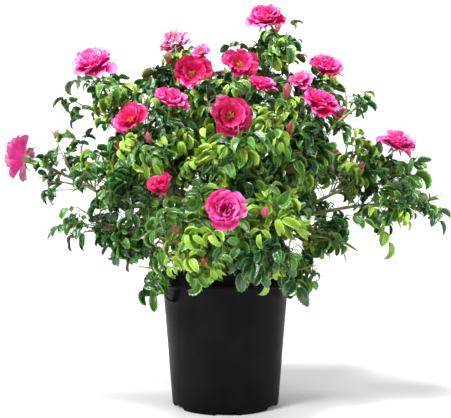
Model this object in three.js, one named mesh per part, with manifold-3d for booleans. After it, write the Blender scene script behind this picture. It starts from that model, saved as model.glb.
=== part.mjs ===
// A rose bush in bloom, growing in a black nursery pot.
//
// Millimetres, +Z up. The origin is the centre of the pot's flat underside, and -Y is the front.
// A short main stem stands in the potting mix. Canes leave it, and some fork. Each cane or fork
// runs into a mass of foliage of its own, where it carries on as that mass's stem.

import * as THREE from "three";
import { mergeVertices } from "three/addons/utils/BufferGeometryUtils.js";
import Module from "manifold-3d";

const wasm = await Module();
wasm.setup();

// ---- Driving sizes ----------------------------------------------------------

const CLEARANCE = 0.3; // between pieces that touch
const RIGHT = new THREE.Vector3(1, 0, 0);
const UP = new THREE.Vector3(0, 0, 1);

// The pot, about nine litres, blow-moulded with a ridge and a lip at its rim.
const POT_HEIGHT = 250;
const POT_BASE_RADIUS = 100.4;
const POT_TOP_RADIUS = 118.4; // of the body, under the ridge
const POT_WALL = 2.2;
const POT_FLOOR = 3;
const POT_CORNER = 3.5; // the bevel round the underside
const RIDGE_HEIGHT = 220;
const RIDGE_RADIUS = 120.2;
const COLLAR_RADIUS = 117.6;
const LIP_RADIUS = 121.6;
const LIP_DEPTH = 6;
const POT_SIDES = 28;
const DRAIN_HOLES = 6;
const DRAIN_WIDTH = 38;
const DRAIN_HEIGHT = 7;
const DRAIN_DEPTH = 22; // from the outside, through the corner

// The potting mix and the main stem.
const SOIL_TOP = 228;
const STEM_TOP = 284;
const STEM_PROFILE = [
  [27, 0],
  [20, 5],
  [16, 12],
  [15, 20],
  [19, 30],
  [20, 40],
  [16, 49],
  [8, 54],
]; // radius, height above the potting mix; the canes leave its knobbly head
const STEM_SIDES = 12;

// Canes and forks.
const CANE_RADIUS = 4.4;
const FORK_RADIUS = 3.6;
const TIP_RADIUS = 2.3;
const FORK_SHOULDER = 0.14; // of a cane, that it carries on past a fork before its own foliage
const LIMB_SIDES = 5;
const LIMB_STEPS = 4;
const CURVE_HANDLE = 0.36; // of the straight distance
const CANE_START = 12; // from the stem's axis
const LAUNCH_LIFT = 22; // degrees that a cane starts steeper than its goal
const LAUNCH_STEEPEST = 58;
const STEEPEST = 86;

// Foliage. Leaves are fewer and larger than on the real plant.
const TIP_MARGIN = 38; // how far a mass reaches past its stem's tip
const SPINE = 0.4; // of a mass's length, back from its stem's tip
const SPACE_GAP = 0.8; // that each mass keeps from the planes between masses
const TWIG_SPACING = 30;
const TWIG_ANGLE = 52;
const TWIG_FILL = 0.66; // of the room ahead
const TWIG_LONGEST = 110;
const TWIG_SHORTEST = 18;
const TWIG_RADIUS = 1.6;
const TWIG_TIP = 1.3;
const SPIRAL = 144; // degrees from one bud to the next, as on every rose
const LEAF_SPACING = 24; // along a shoot
const LEAF_ANGLE = 58; // between a leaf and its shoot
const TIP_LEAF_ANGLE = 16; // and for the one at the tip
const LEAF_LENGTH = 60;
const LEAF_WIDTH = 42;
const LEAF_THICK = 1.5;
const LEAF_TRIES = [1.3, 1.05, 0.88]; // sizes tried before a leaf is left out
const LEAF_TURNS = [0, 72, -72, 144]; // and turns round its shoot
const LEAF_APART = 8; // between leaves, and between leaves and twigs
const LEAF_SEAT = 1; // from the tip of a shoot down to the leaf on it
const ROOT_SINK = 0.4; // how far a leaf's root goes past the middle of its shoot
const LEAF_ROOM = 4; // that a leaf keeps from limbs and blooms
const CROWN_HEART = new THREE.Vector3(0, 0, 330); // leaves face away from here

// Blooms.
const PETALS = 5;
const BLOOM_SIDES = 2 * PETALS;
const STALK_RADIUS = 1.4;
const BLOOM_DEPTH = 0.3; // of its width, from the rim down to the hip
const BLOOM_FORMS = {
  open: [[0.24, -0.03], 0.06],
  double: [[0.34, 0.17], 0.22],
}; // the shoulder inside the rim, and the height of the heart

// Canes that leave the main stem: the heading and height where they leave it, the tip,
// the droop of the tip in degrees, and the length and width of the mass that they carry.
const CANES = [
  { name: "top", upright: true, heading: 0, height: 270, tip: [88, -4, 712],
    droop: -8, long: 330, wide: 230, seed: 532 },
  { name: "top_left", heading: 140, height: 266, tip: [-98, 30, 690],
    droop: -4, long: 250, wide: 200, seed: 745 },
  { name: "left_high", heading: 176, height: 268, tip: [-246, -18, 622],
    droop: -6, long: 210, wide: 176, seed: 808 },
  { name: "left_low", heading: 205, height: 250, tip: [-258, -60, 320],
    droop: 30, long: 220, wide: 170, seed: 126 },
  { name: "left_middle", heading: 236, height: 264, tip: [-186, -112, 500],
    droop: 8, long: 240, wide: 220, seed: 1214 },
  { name: "front_middle", heading: 270, height: 252, tip: [4, -214, 452],
    droop: 14, long: 300, wide: 240, seed: 189 },
  { name: "right_middle", heading: 304, height: 266, tip: [142, -118, 520],
    droop: 4, long: 280, wide: 250, seed: 1060 },
  { name: "right_reach", heading: 338, height: 253, tip: [330, 8, 462],
    droop: 0, long: 220, wide: 230, seed: 616 },
  { name: "right_high", heading: 10, height: 266, tip: [192, 14, 628],
    droop: -4, long: 240, wide: 210, seed: 850 },
  { name: "back_right", heading: 42, height: 252, tip: [222, 186, 486],
    droop: 6, long: 260, wide: 240, seed: 168 },
  { name: "back_top", heading: 76, height: 267, tip: [-16, 148, 656],
    droop: -2, long: 270, wide: 240, seed: 238 },
  { name: "back_left", heading: 108, height: 252, tip: [-216, 190, 500],
    droop: 6, long: 260, wide: 240, seed: 280 },
];

// Forks: the cane and the place along it where they leave, and then as above.
const FORKS = [
  { name: "top_middle", from: "top", at: 0.3, tip: [14, -64, 606],
    droop: -4, long: 210, wide: 190, seed: 752 },
  { name: "left_reach", from: "left_low", at: 0.3, tip: [-372, -28, 452],
    droop: 16, long: 230, wide: 150, seed: 245 },
  { name: "left_inner", from: "left_middle", at: 0.28, tip: [-216, -96, 396],
    droop: 20, long: 190, wide: 180, seed: 644 },
  { name: "left_rim", from: "left_middle", at: 0.2, tip: [-126, -112, 222],
    droop: 34, long: 140, wide: 130, seed: 196 },
  { name: "front_low_left", from: "front_middle", at: 0.2, tip: [-66, -232, 272],
    droop: 34, long: 220, wide: 180, seed: 770 },
  { name: "front_low_right", from: "right_middle", at: 0.22, tip: [64, -226, 266],
    droop: 34, long: 220, wide: 180, seed: 1095 },
  { name: "right_rim", from: "right_middle", at: 0.14, tip: [132, -112, 224],
    droop: 46, long: 130, wide: 130, seed: 231 },
  { name: "right_low", from: "right_reach", at: 0.16, tip: [232, -92, 286],
    droop: 34, long: 220, wide: 190, seed: 787 },
  { name: "right_shoulder", from: "right_high", at: 0.3, tip: [260, -16, 566],
    droop: 12, long: 140, wide: 120, seed: 1123 },
  { name: "right_out", from: "right_reach", at: 0.34, tip: [392, -30, 350],
    droop: 28, long: 240, wide: 200, seed: 619 },
  { name: "back_low_left", from: "back_left", at: 0.24, tip: [-176, 176, 296],
    droop: 30, long: 220, wide: 200, seed: 77 },
  { name: "back_low", from: "back_top", at: 0.16, tip: [6, 250, 330],
    droop: 30, long: 230, wide: 200, seed: 738 },
  { name: "back_low_right", from: "back_right", at: 0.24, tip: [186, 160, 292],
    droop: 30, long: 220, wide: 200, seed: 941 },
];

// Blooms: the mass that each grows in, its middle, the heading and pitch that it faces, its width.
const BLOOMS = [
  { on: "left_high", at: [-252, -20, 644], heading: 250, pitch: 68, width: 80, form: "double" },
  { on: "top_left", at: [-104, 50, 708], heading: 250, pitch: 62, width: 58, form: "double" },
  { on: "top_left", at: [-62, -56, 612], heading: 262, pitch: 28, width: 72, form: "open" },
  { on: "top_middle", at: [27, -46, 634], heading: 274, pitch: 34, width: 66, form: "open" },
  { on: "top_middle", at: [66, -66, 588], heading: 290, pitch: 56, width: 60, form: "double" },
  { on: "top", at: [76, 0, 738], heading: 270, pitch: 74, width: 74, form: "double" },
  { on: "left_middle", at: [-164, -128, 512], heading: 236, pitch: 44, width: 68, form: "open" },
  { on: "left_middle", at: [-96, -124, 548], heading: 250, pitch: 66, width: 64, form: "double" },
  { on: "front_middle", at: [8, -160, 508], heading: 280, pitch: 16, width: 66, form: "open" },
  { on: "right_high", at: [194, 16, 650], heading: 280, pitch: 66, width: 66, form: "double" },
  { on: "right_middle", at: [162, -112, 546], heading: 262, pitch: 46, width: 70, form: "open" },
  { on: "right_reach", at: [330, 0, 500], heading: 300, pitch: 66, width: 68, form: "double" },
  { on: "left_reach", at: [-384, -30, 462], heading: 176, pitch: 12, width: 76, form: "double" },
  { on: "front_middle", at: [-98, -206, 386], heading: 250, pitch: 50, width: 42, form: "double" },
  { on: "front_low_right", at: [-2, -262, 350], heading: 268, pitch: 22, width: 60, form: "double" },
  { on: "back_left", at: [-222, 204, 516], heading: 130, pitch: 46, width: 72, form: "double" },
  { on: "back_left", at: [-150, 226, 430], heading: 116, pitch: 30, width: 66, form: "open" },
  { on: "back_top", at: [-22, 158, 676], heading: 92, pitch: 64, width: 72, form: "double" },
  { on: "back_top", at: [40, 214, 584], heading: 84, pitch: 34, width: 68, form: "open" },
  { on: "back_right", at: [230, 196, 502], heading: 42, pitch: 46, width: 72, form: "open" },
  { on: "right_high", at: [166, 84, 606], heading: 50, pitch: 46, width: 56, form: "double" },
  { on: "back_low", at: [10, 290, 350], heading: 88, pitch: 30, width: 66, form: "open" },
  { on: "back_low_left", at: [-222, 196, 318], heading: 140, pitch: 26, width: 60, form: "double" },
  { on: "back_low_right", at: [236, 176, 320], heading: 36, pitch: 26, width: 60, form: "open" },
];

// ---- Chance and directions --------------------------------------------------

// The same three whole numbers always give the same stream of numbers from 0 to 1.
function chance(seed, shoot, place) {
  let state =
    (Math.imul(seed + 1, 73856093) ^ Math.imul(shoot + 1, 19349663) ^ Math.imul(place + 1, 83492791)) >>> 0;
  const next = () => {
    state = (Math.imul(state, 1664525) + 1013904223) >>> 0;
    return state / 4294967296;
  };
  next();
  next();
  return next;
}

const radians = (degrees) => (degrees * Math.PI) / 180;
const point = (xyz) => new THREE.Vector3(...xyz);
const clamp = THREE.MathUtils.clamp;

function direction(heading, pitch) {
  const flat = Math.cos(radians(pitch));
  return new THREE.Vector3(
    flat * Math.cos(radians(heading)),
    flat * Math.sin(radians(heading)),
    Math.sin(radians(pitch)),
  );
}

// A level direction to one side of `along`.
function sideOf(along) {
  const side = along.clone().cross(UP);
  return (side.length() < 0.2 ? along.clone().cross(RIGHT) : side).normalize();
}

// A direction at `angle` degrees from `along`, turned round it by `turn` degrees.
function awayFrom(along, angle, turn) {
  const side = sideOf(along);
  const over = side.clone().cross(along).normalize();
  return along
    .clone()
    .multiplyScalar(Math.cos(radians(angle)))
    .addScaledVector(side, Math.sin(radians(angle)) * Math.cos(radians(turn)))
    .addScaledVector(over, Math.sin(radians(angle)) * Math.sin(radians(turn)))
    .normalize();
}

// ---- Solids -------------------------------------------------------------------

function solidOf(geometry) {
  const bare = geometry.clone();
  for (const name of Object.keys(bare.attributes)) if (name !== "position") bare.deleteAttribute(name);
  const merged = mergeVertices(bare, 1e-4);
  const triVerts = new Uint32Array(merged.index.array);
  return new wasm.Manifold(
    new wasm.Mesh({ numProp: 3, vertProperties: merged.attributes.position.array, triVerts }),
  );
}

function geometryOf(solid) {
  const { vertProperties, triVerts } = solid.getMesh();
  const geometry = new THREE.BufferGeometry();
  geometry.setAttribute("position", new THREE.BufferAttribute(vertProperties, 3));
  geometry.setIndex(new THREE.BufferAttribute(triVerts, 1));
  return geometry;
}

// The largest of the separate bodies that a cut or a join left.
function largestOf(solid) {
  return solid.decompose().reduce((best, body) => (body.volume() > best.volume() ? body : best));
}

// A solid of revolution about +Z from a profile of [radius, height], from the axis round to the axis.
function turned(profile, sides) {
  const geometry = new THREE.LatheGeometry(
    profile.map(([radius, height]) => new THREE.Vector2(radius, height)),
    sides,
  );
  return geometry.rotateX(Math.PI / 2);
}

// A tapering tube along part of a curve: a closed cylinder, bent.
function tube(curve, from, to, radiusAt, sides, steps) {
  const geometry = new THREE.CylinderGeometry(1, 1, 1, sides, steps);
  const rings = [];
  let tangent = curve.getTangent(from);
  let side = sideOf(tangent);
  for (let i = 0; i <= steps; i++) {
    const t = from + ((to - from) * i) / steps;
    const next = curve.getTangent(t);
    side = side.applyQuaternion(new THREE.Quaternion().setFromUnitVectors(tangent, next)).normalize();
    tangent = next;
    const over = next.clone().cross(side);
    rings.push({ centre: curve.getPoint(t), side: side.clone(), over, radius: radiusAt(t) });
  }
  const place = geometry.attributes.position;
  for (let i = 0; i < place.count; i++) {
    const ring = rings[Math.round((place.getY(i) + 0.5) * steps)];
    const at = ring.centre
      .clone()
      .addScaledVector(ring.side, place.getZ(i) * ring.radius)
      .addScaledVector(ring.over, place.getX(i) * ring.radius);
    place.setXYZ(i, at.x, at.y, at.z);
  }
  return geometry;
}

// ---- The pot, the potting mix and the main stem --------------------------------

const potRadiusAt = (height) =>
  POT_BASE_RADIUS + ((POT_TOP_RADIUS - POT_BASE_RADIUS) * height) / RIDGE_HEIGHT;

const innerRadiusAt = (height) => potRadiusAt(height) - POT_WALL;

function makePot() {
  const collarTop = POT_HEIGHT - LIP_DEPTH;
  const profile = [
    [0, 0],
    [POT_BASE_RADIUS - POT_CORNER, 0],
    [potRadiusAt(POT_CORNER), POT_CORNER],
    [POT_TOP_RADIUS, RIDGE_HEIGHT],
    [RIDGE_RADIUS, RIDGE_HEIGHT + 2],
    [RIDGE_RADIUS, RIDGE_HEIGHT + 6],
    [COLLAR_RADIUS, RIDGE_HEIGHT + 9],
    [COLLAR_RADIUS, collarTop],
    [LIP_RADIUS, collarTop + 1],
    [LIP_RADIUS, POT_HEIGHT],
    [COLLAR_RADIUS - POT_WALL, POT_HEIGHT],
    [innerRadiusAt(RIDGE_HEIGHT), RIDGE_HEIGHT],
    [innerRadiusAt(POT_CORNER + 1), POT_CORNER + 1],
    [POT_BASE_RADIUS - POT_CORNER - 1, POT_FLOOR],
    [0, POT_FLOOR],
  ];
  let pot = solidOf(turned(profile, POT_SIDES));
  for (let i = 0; i < DRAIN_HOLES; i++) {
    const notch = new THREE.BoxGeometry(DRAIN_DEPTH, DRAIN_WIDTH, 2 * DRAIN_HEIGHT)
      .translate(POT_BASE_RADIUS, 0, 0)
      .rotateZ((2 * Math.PI * i) / DRAIN_HOLES - Math.PI / 2);
    pot = pot.subtract(solidOf(notch));
  }
  return largestOf(pot);
}

function makeSoil() {
  const profile = [
    [0, POT_FLOOR + CLEARANCE],
    [POT_BASE_RADIUS - POT_CORNER - 1.4, POT_FLOOR + CLEARANCE],
    [innerRadiusAt(POT_CORNER + 1) - CLEARANCE, POT_CORNER + 1.4],
    [innerRadiusAt(SOIL_TOP - 14) - CLEARANCE, SOIL_TOP - 14],
    [innerRadiusAt(SOIL_TOP - 14) - 6, SOIL_TOP - 6],
    [70, SOIL_TOP],
    [0, SOIL_TOP],
  ];
  return solidOf(turned(profile, POT_SIDES));
}

// The main stem, or the space that canes keep clear of when `room` is added to its radius.
function makeMainStem(room) {
  const foot = SOIL_TOP + CLEARANCE;
  const profile = STEM_PROFILE.map(([radius, height]) => [radius + room, foot + height]);
  return solidOf(turned([[0, foot], ...profile, [0, STEM_TOP + room]], STEM_SIDES));
}

// ---- Limbs --------------------------------------------------------------------

// A limb starts steeper than the straight way to its tip, and arrives drooping.
function limbCurve(start, launch, tip, droop) {
  const way = tip.clone().sub(start).normalize();
  const heading = THREE.MathUtils.radToDeg(Math.atan2(way.y, way.x));
  const pitch = THREE.MathUtils.radToDeg(Math.asin(way.z));
  const arrive = direction(heading, Math.min(STEEPEST, pitch - droop));
  const handle = start.distanceTo(tip) * CURVE_HANDLE;
  return {
    curve: new THREE.CubicBezierCurve3(
      start,
      start.clone().addScaledVector(launch, handle),
      tip.clone().addScaledVector(arrive, -handle),
      tip,
    ),
    arrive,
  };
}

function makeLimbs() {
  const limbs = new Map();
  for (const cane of CANES) {
    const start = new THREE.Vector3(0, 0, cane.height);
    if (!cane.upright) start.addScaledVector(direction(cane.heading, 0), CANE_START);
    const tip = point(cane.tip);
    const rise = THREE.MathUtils.radToDeg(Math.asin((tip.z - start.z) / start.distanceTo(tip)));
    const steep = Math.min(LAUNCH_STEEPEST, rise + LAUNCH_LIFT);
    const launch = direction(cane.heading, cane.upright ? 90 : steep);
    limbs.set(cane.name, { ...cane, ...limbCurve(start, launch, tip, cane.droop), radius: CANE_RADIUS });
  }
  for (const fork of FORKS) {
    const parent = limbs.get(fork.from);
    const start = parent.curve.getPoint(fork.at);
    const tip = point(fork.tip);
    const launch = parent.curve
      .getTangent(fork.at)
      .multiplyScalar(0.5)
      .add(tip.clone().sub(start).normalize())
      .normalize();
    limbs.set(fork.name, { ...fork, ...limbCurve(start, launch, tip, fork.droop), radius: FORK_RADIUS });
  }
  for (const limb of limbs.values())
    limb.radiusAt = (t) => limb.radius + (TIP_RADIUS - limb.radius) * t;
  return limbs;
}

// ---- The space of each mass -----------------------------------------------------

// Each mass reaches out from its spine, the last straight part of its limb. Planes half-way
// between the spines make every space convex, and keep any two of them apart.
function giveSpaces(limbs) {
  const all = [...limbs.values()];
  for (const limb of all) {
    const tip = point(limb.tip);
    const centre = tip.clone().addScaledVector(limb.arrive, TIP_MARGIN - limb.long / 2);
    const foot = tip.clone().addScaledVector(limb.arrive, -SPINE * limb.long);
    limb.space = { centre, axis: limb.arrive, half: limb.long / 2, side: limb.wide / 2, planes: [] };
    limb.spine = Array.from({ length: 13 }, (_, i) => foot.clone().lerp(tip, i / 12));
  }
  all.forEach((limb, index) => {
    for (const other of all.slice(index + 1)) {
      const pairs = limb.spine.flatMap((near) => other.spine.map((far) => [near, far]));
      const [near, far] = pairs.reduce((best, pair) =>
        pair[0].distanceTo(pair[1]) < best[0].distanceTo(best[1]) ? pair : best,
      );
      const normal = far.clone().sub(near).normalize();
      const limit = near.clone().add(far).dot(normal) / 2;
      limb.space.planes.push({ normal, limit });
      other.space.planes.push({ normal: normal.clone().negate(), limit: -limit });
    }
  });
}

function isInside(space, at) {
  const offset = at.clone().sub(space.centre);
  const along = offset.dot(space.axis);
  const across = offset.lengthSq() - along * along;
  if ((along / space.half) ** 2 + across / space.side ** 2 > 1) return false;
  return space.planes.every(({ normal, limit }) => at.dot(normal) < limit - SPACE_GAP);
}

// Where a limb is inside its mass's space for good.
function entryOf(limb) {
  const steps = 200;
  for (let i = steps; i > 0; i--)
    if (!isInside(limb.space, limb.curve.getPoint(i / steps))) {
      if (i > 0.95 * steps) throw new Error(`the tip of ${limb.name} is outside its own space`);
      return (i + 1) / steps;
    }
  return 1 / steps;
}

// How far it is from a place in a space, along a direction, to the space's edge.
function roomAhead(space, from, heading) {
  const step = 4;
  let room = 0;
  while (room < 2 * space.half && isInside(space, from.clone().addScaledVector(heading, room + step)))
    room += step;
  return room;
}

// ---- What foliage keeps clear of ------------------------------------------------

// Limbs, flower stalks and blooms as rows of balls.
const obstacles = [];

function addObstacles(owner, curve, from, to, radius) {
  const steps = Math.ceil(curve.getLength() / 5);
  for (let i = 0; i <= steps; i++)
    obstacles.push({ owner, at: curve.getPoint(from + ((to - from) * i) / steps), radius });
}

// Pieces of the mass `own` may touch its own stem and stalks, but not its blooms.
const isClear = (at, own, room) =>
  obstacles.every((ball) => ball.owner === own || ball.at.distanceToSquared(at) > (ball.radius + room) ** 2);

const isAbovePot = (at) =>
  at.z > POT_HEIGHT + 2 || Math.hypot(at.x, at.y) > LIP_RADIUS + 2;

// The last test, on the solids themselves: a limb, the pot or another mass's bloom is touched.
const touches = (geometry, limb) => solidOf(geometry).intersect(limb.barrier).numTri() > 0;

// ---- Twigs, leaves and blooms -----------------------------------------------------

// A leaf, from its root to its tip: three-sided, with its keel below and its tip turned down.
function leafGeometry(root, heading, normal, length) {
  const across = normal.clone().cross(heading).normalize();
  const width = (length * LEAF_WIDTH) / LEAF_LENGTH;
  const geometry = new THREE.SphereGeometry(1, 3, 2);
  const place = geometry.attributes.position;
  for (let i = 0; i < place.count; i++) {
    const at = root.clone();
    const isKeel = place.getX(i) < -0.5;
    if (place.getY(i) > 0.9) at.addScaledVector(heading, length).addScaledVector(normal, -0.1 * length);
    else if (isKeel) at.addScaledVector(heading, 0.35 * length).addScaledVector(normal, -LEAF_THICK);
    else if (place.getY(i) > -0.9) {
      const edge = Math.sign(place.getZ(i)) * 0.5 * width;
      at.addScaledVector(heading, 0.56 * length).addScaledVector(across, edge);
    }
    place.setXYZ(i, at.x, at.y, at.z);
  }
  return geometry;
}

// Places on a leaf that have to be clear: along its middle and round its edge.
function leafProbes(root, heading, normal, length) {
  const across = normal.clone().cross(heading).normalize();
  const width = (length * LEAF_WIDTH) / LEAF_LENGTH;
  const outline = [[0.4, 0], [0.7, 0], [1, 0], [0.3, 0.3], [0.3, -0.3], [0.5, 0.5], [0.5, -0.5]];
  outline.push([0.75, 0.25], [0.75, -0.25]);
  return outline.map(([along, aside]) =>
    root
      .clone()
      .addScaledVector(heading, along * length)
      .addScaledVector(across, aside * width),
  );
}

// A leaf also keeps off its mass's other leaves and twigs, all but near its own root.
const fits = (probes, limb) =>
  probes.every(
    (at) =>
      isInside(limb.space, at) &&
      isAbovePot(at) &&
      isClear(at, limb.name, LEAF_ROOM) &&
      limb.taken.every((other) => other.distanceToSquared(at) > LEAF_APART ** 2),
  );

// A leaf is tried in a few turns and sizes, and left out if none of them fits.
function growLeaf(limb, shoot, place) {
  const random = chance(limb.seed, shoot.index, place);
  const [turnBy, sizeBy, dropBy, tiltX, tiltY] = [random(), random(), random(), random(), random()];
  const end = 1 - LEAF_SEAT / shoot.curve.getLength();
  const t = shoot.from + (end - shoot.from) * clamp(1 - (place * LEAF_SPACING) / shoot.length, 0, 1);
  const root = shoot.curve.getPoint(t);
  const tangent = shoot.curve.getTangent(t);
  const tilt = new THREE.Vector3(0.8 * (tiltX - 0.5), 0.8 * (tiltY - 0.5), 0.35);
  for (const part of LEAF_TRIES)
    for (const turnOn of LEAF_TURNS) {
      const turn = place * SPIRAL + 50 * turnBy + turnOn;
      const heading = awayFrom(tangent, place ? LEAF_ANGLE : TIP_LEAF_ANGLE, turn)
        .addScaledVector(UP, -0.15 - 0.5 * dropBy)
        .normalize();
      const facing = root.clone().sub(CROWN_HEART).normalize().add(tilt);
      const normal = facing.addScaledVector(heading, -facing.dot(heading)).normalize();
      const foot = root.clone().addScaledVector(heading, -ROOT_SINK);
      const length = LEAF_LENGTH * (0.88 + 0.24 * sizeBy) * part;
      const probes = leafProbes(foot, heading, normal, length);
      if (!fits(probes, limb)) continue;
      const leaf = leafGeometry(foot, heading, normal, length);
      if (touches(leaf, limb)) continue;
      limb.taken.push(...probes);
      return leaf;
    }
}

// A twig is tried in a few turns round the stem, and left out if none of them is clear.
function growTwig(limb, index, count) {
  const random = chance(limb.seed, index, 999);
  const [turnBy, lengthBy, angleBy] = [random(), random(), random()];
  const t = limb.entry + (1 - limb.entry) * (0.06 + (0.86 * (index - 1)) / count);
  const root = limb.curve.getPoint(t);
  for (const turnOn of LEAF_TURNS) {
    const turn = index * SPIRAL + 60 * turnBy + turnOn;
    const heading = awayFrom(limb.curve.getTangent(t), TWIG_ANGLE + 14 * angleBy, turn);
    const room = roomAhead(limb.space, root, heading) * TWIG_FILL;
    const length = clamp(room * (0.8 + 0.2 * lengthBy), TWIG_SHORTEST, TWIG_LONGEST);
    const end = root.clone().addScaledVector(heading, length).addScaledVector(UP, 0.08 * length);
    const twig = new THREE.LineCurve3(root, end);
    const probes = [0.3, 0.45, 0.6, 0.75, 0.9, 1].map((part) => twig.getPoint(part));
    if (!probes.every((at) => isInside(limb.space, at) && isAbovePot(at) && isClear(at, limb.name, 3)))
      continue;
    const wood = tube(twig, 0, 1, (u) => TWIG_RADIUS + (TWIG_TIP - TWIG_RADIUS) * u, 3, 1);
    if (!touches(wood, limb)) return { index, wood, curve: twig, from: 0.16, length: length * 0.84 };
  }
}

// Twigs turn on round the stem and reach for the edge of the space. Leaves follow, from the
// tip of every shoot downwards.
function growMass(limb) {
  const run = limb.curve.getPoint(limb.entry).distanceTo(limb.curve.getPoint(1));
  const count = Math.max(2, Math.round(run / TWIG_SPACING));
  const shoots = [{ index: 0, curve: limb.curve, from: limb.entry, length: run * 0.8 }];
  const pieces = [tube(limb.curve, limb.entry, 1, limb.radiusAt, 4, 4)];
  limb.taken = [];
  for (let index = 1; index <= count; index++) {
    const shoot = growTwig(limb, index, count);
    if (!shoot) continue;
    shoots.push(shoot);
    pieces.push(shoot.wood);
    for (let u = 0.3; u < 0.95; u += 0.1) limb.taken.push(shoot.curve.getPoint(u));
  }
  const rounds = Math.max(...shoots.map((shoot) => Math.floor(shoot.length / LEAF_SPACING)));
  for (let place = 0; place <= rounds; place++)
    for (const shoot of shoots)
      if (place * LEAF_SPACING <= shoot.length) pieces.push(growLeaf(limb, shoot, place));
  return pieces.filter(Boolean);
}

// A bloom that faces +Z, with its rim near z = 0 and scalloped into petals.
function bloomGeometry({ width, form }) {
  const [shoulder, heart] = BLOOM_FORMS[form];
  const profile = [[0, -BLOOM_DEPTH], [0.36, -0.13], [0.5, 0.03], shoulder, [0, heart]].map(
    ([radius, height]) => [radius * width, height * width],
  );
  const geometry = turned(profile, BLOOM_SIDES);
  const place = geometry.attributes.position;
  for (let i = 0; i < place.count; i++) {
    const [x, y] = [place.getX(i), place.getY(i)];
    const share = Math.hypot(x, y) / width;
    const petal = Math.cos(PETALS * Math.atan2(y, x));
    const stretch = share > 0.32 ? 1 + 0.09 * petal : 1;
    place.setXYZ(i, x * stretch, y * stretch, place.getZ(i) + (share > 0.45 ? 0.05 * width * petal : 0));
  }
  return geometry;
}

function bloomPlace(bloom) {
  const facing = direction(bloom.heading, bloom.pitch);
  const turn = new THREE.Quaternion().setFromUnitVectors(UP, facing);
  return { facing, turn, middle: point(bloom.at) };
}

// The stalk leaves the stem below the bloom, and comes up into its hip.
function stalkOf(limb, bloom) {
  const { facing, middle } = bloomPlace(bloom);
  const hip = middle.clone().addScaledVector(facing, -(BLOOM_DEPTH - 0.06) * bloom.width);
  let best = limb.entry;
  for (let t = limb.entry; t <= 1; t += 0.01)
    if (limb.curve.getPoint(t).distanceTo(hip) < limb.curve.getPoint(best).distanceTo(hip)) best = t;
  const from = Math.max(limb.entry + 0.04, best - 0.22);
  const root = limb.curve.getPoint(from);
  const bend = hip.clone().addScaledVector(facing, -0.3 * root.distanceTo(hip));
  return new THREE.QuadraticBezierCurve3(root, bend, hip);
}

// ---- Assembly -----------------------------------------------------------------------

const rose = new THREE.Group();
rose.name = "rose_bush";

const material = (color, roughness) => new THREE.MeshStandardMaterial({ color, roughness, metalness: 0 });
const POT_PLASTIC = material(0x17171b, 0.45);
const POTTING_MIX = material(0x3a2c22, 0.95);
const OLD_WOOD = material(0x6d6a3a, 0.8);
const GREEN_CANE = material(0x5d7a2c, 0.6);
const FOLIAGE = material(0x2f6b2a, 0.5);

function addMesh(name, solid, finish) {
  const mesh = new THREE.Mesh(geometryOf(solid), finish);
  mesh.name = name;
  rose.add(mesh);
}

addMesh("pot", makePot(), POT_PLASTIC);
addMesh("potting_mix", makeSoil(), POTTING_MIX);
addMesh("main_stem", makeMainStem(0), OLD_WOOD);

const limbs = makeLimbs();
giveSpaces(limbs);
for (const limb of limbs.values()) {
  const forks = FORKS.filter((fork) => fork.from === limb.name).map((fork) => fork.at + FORK_SHOULDER);
  limb.entry = Math.max(entryOf(limb), ...forks);
}
for (const limb of limbs.values()) {
  addObstacles("limbs", limb.curve, 0, limb.entry, limb.radius);
  addObstacles(limb.name, limb.curve, limb.entry, 1, TIP_RADIUS);
}
for (const bloom of BLOOMS) {
  const limb = limbs.get(bloom.on);
  bloom.stalk = stalkOf(limb, bloom);
  addObstacles(limb.name, bloom.stalk, 0, 1, STALK_RADIUS);
  const { facing, middle } = bloomPlace(bloom);
  for (const drop of [0, 0.14])
    obstacles.push({
      owner: "blooms",
      at: middle.clone().addScaledVector(facing, -drop * bloom.width),
      radius: (0.5 - drop) * bloom.width,
    });
}

// The boughs: each limb as far as its own foliage, cut off where it leaves the stem or its cane.
const gapOf = (limb) => CLEARANCE / limb.curve.getLength();
const boughOf = (limb, room) => {
  const wider = (t) => limb.radiusAt(t) + room;
  return solidOf(tube(limb.curve, 0, limb.entry - gapOf(limb), wider, LIMB_SIDES, LIMB_STEPS));
};
const stemRoom = makeMainStem(CLEARANCE);
for (const limb of limbs.values()) {
  const foot = limb.from ? boughOf(limbs.get(limb.from), CLEARANCE) : stemRoom;
  const bough = largestOf(boughOf(limb, 0).subtract(foot));
  addMesh(`${limb.from ? "fork" : "cane"}_${limb.name}`, bough, limb.from ? GREEN_CANE : OLD_WOOD);
}

const bloomPieces = (bloom) => {
  const { turn, middle } = bloomPlace(bloom);
  const stalk = tube(bloom.stalk, 0, 1, () => STALK_RADIUS, 3, 2);
  return [stalk, bloomGeometry(bloom).applyQuaternion(turn).translate(...middle.toArray())];
};
const boughs = wasm.Manifold.union([...limbs.values()].map((limb) => boughOf(limb, CLEARANCE)));
for (const limb of limbs.values()) {
  const others = BLOOMS.filter((bloom) => bloom.on !== limb.name).flatMap(bloomPieces);
  limb.barrier = wasm.Manifold.union([boughs, stemRoom, makePot(), ...others.map(solidOf)]);
}

for (const limb of limbs.values()) {
  const own = BLOOMS.filter((bloom) => bloom.on === limb.name).flatMap(bloomPieces);
  const mass = wasm.Manifold.union([...growMass(limb), ...own].map(solidOf)).simplify(0.05);
  addMesh(`foliage_${limb.name}`, largestOf(mass), FOLIAGE);
}

export default rose;
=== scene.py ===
# %% [markdown]
# # A rose bush in bloom, in a nursery pot
#
# This lesson dresses a shrub rose that grows in a nine-litre pot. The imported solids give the
# plant's real size: the pot, the potting mix, the stem, twelve canes, thirteen forks and a mass
# of foliage round the end of each. Around them we build what the eye meets: satin plastic, bark
# with prickles, some thousands of toothed leaflets, and petals one by one. The frame comes in
# first and is never changed. Every new piece sits where the solid that it stands for sits.

import math

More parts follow.
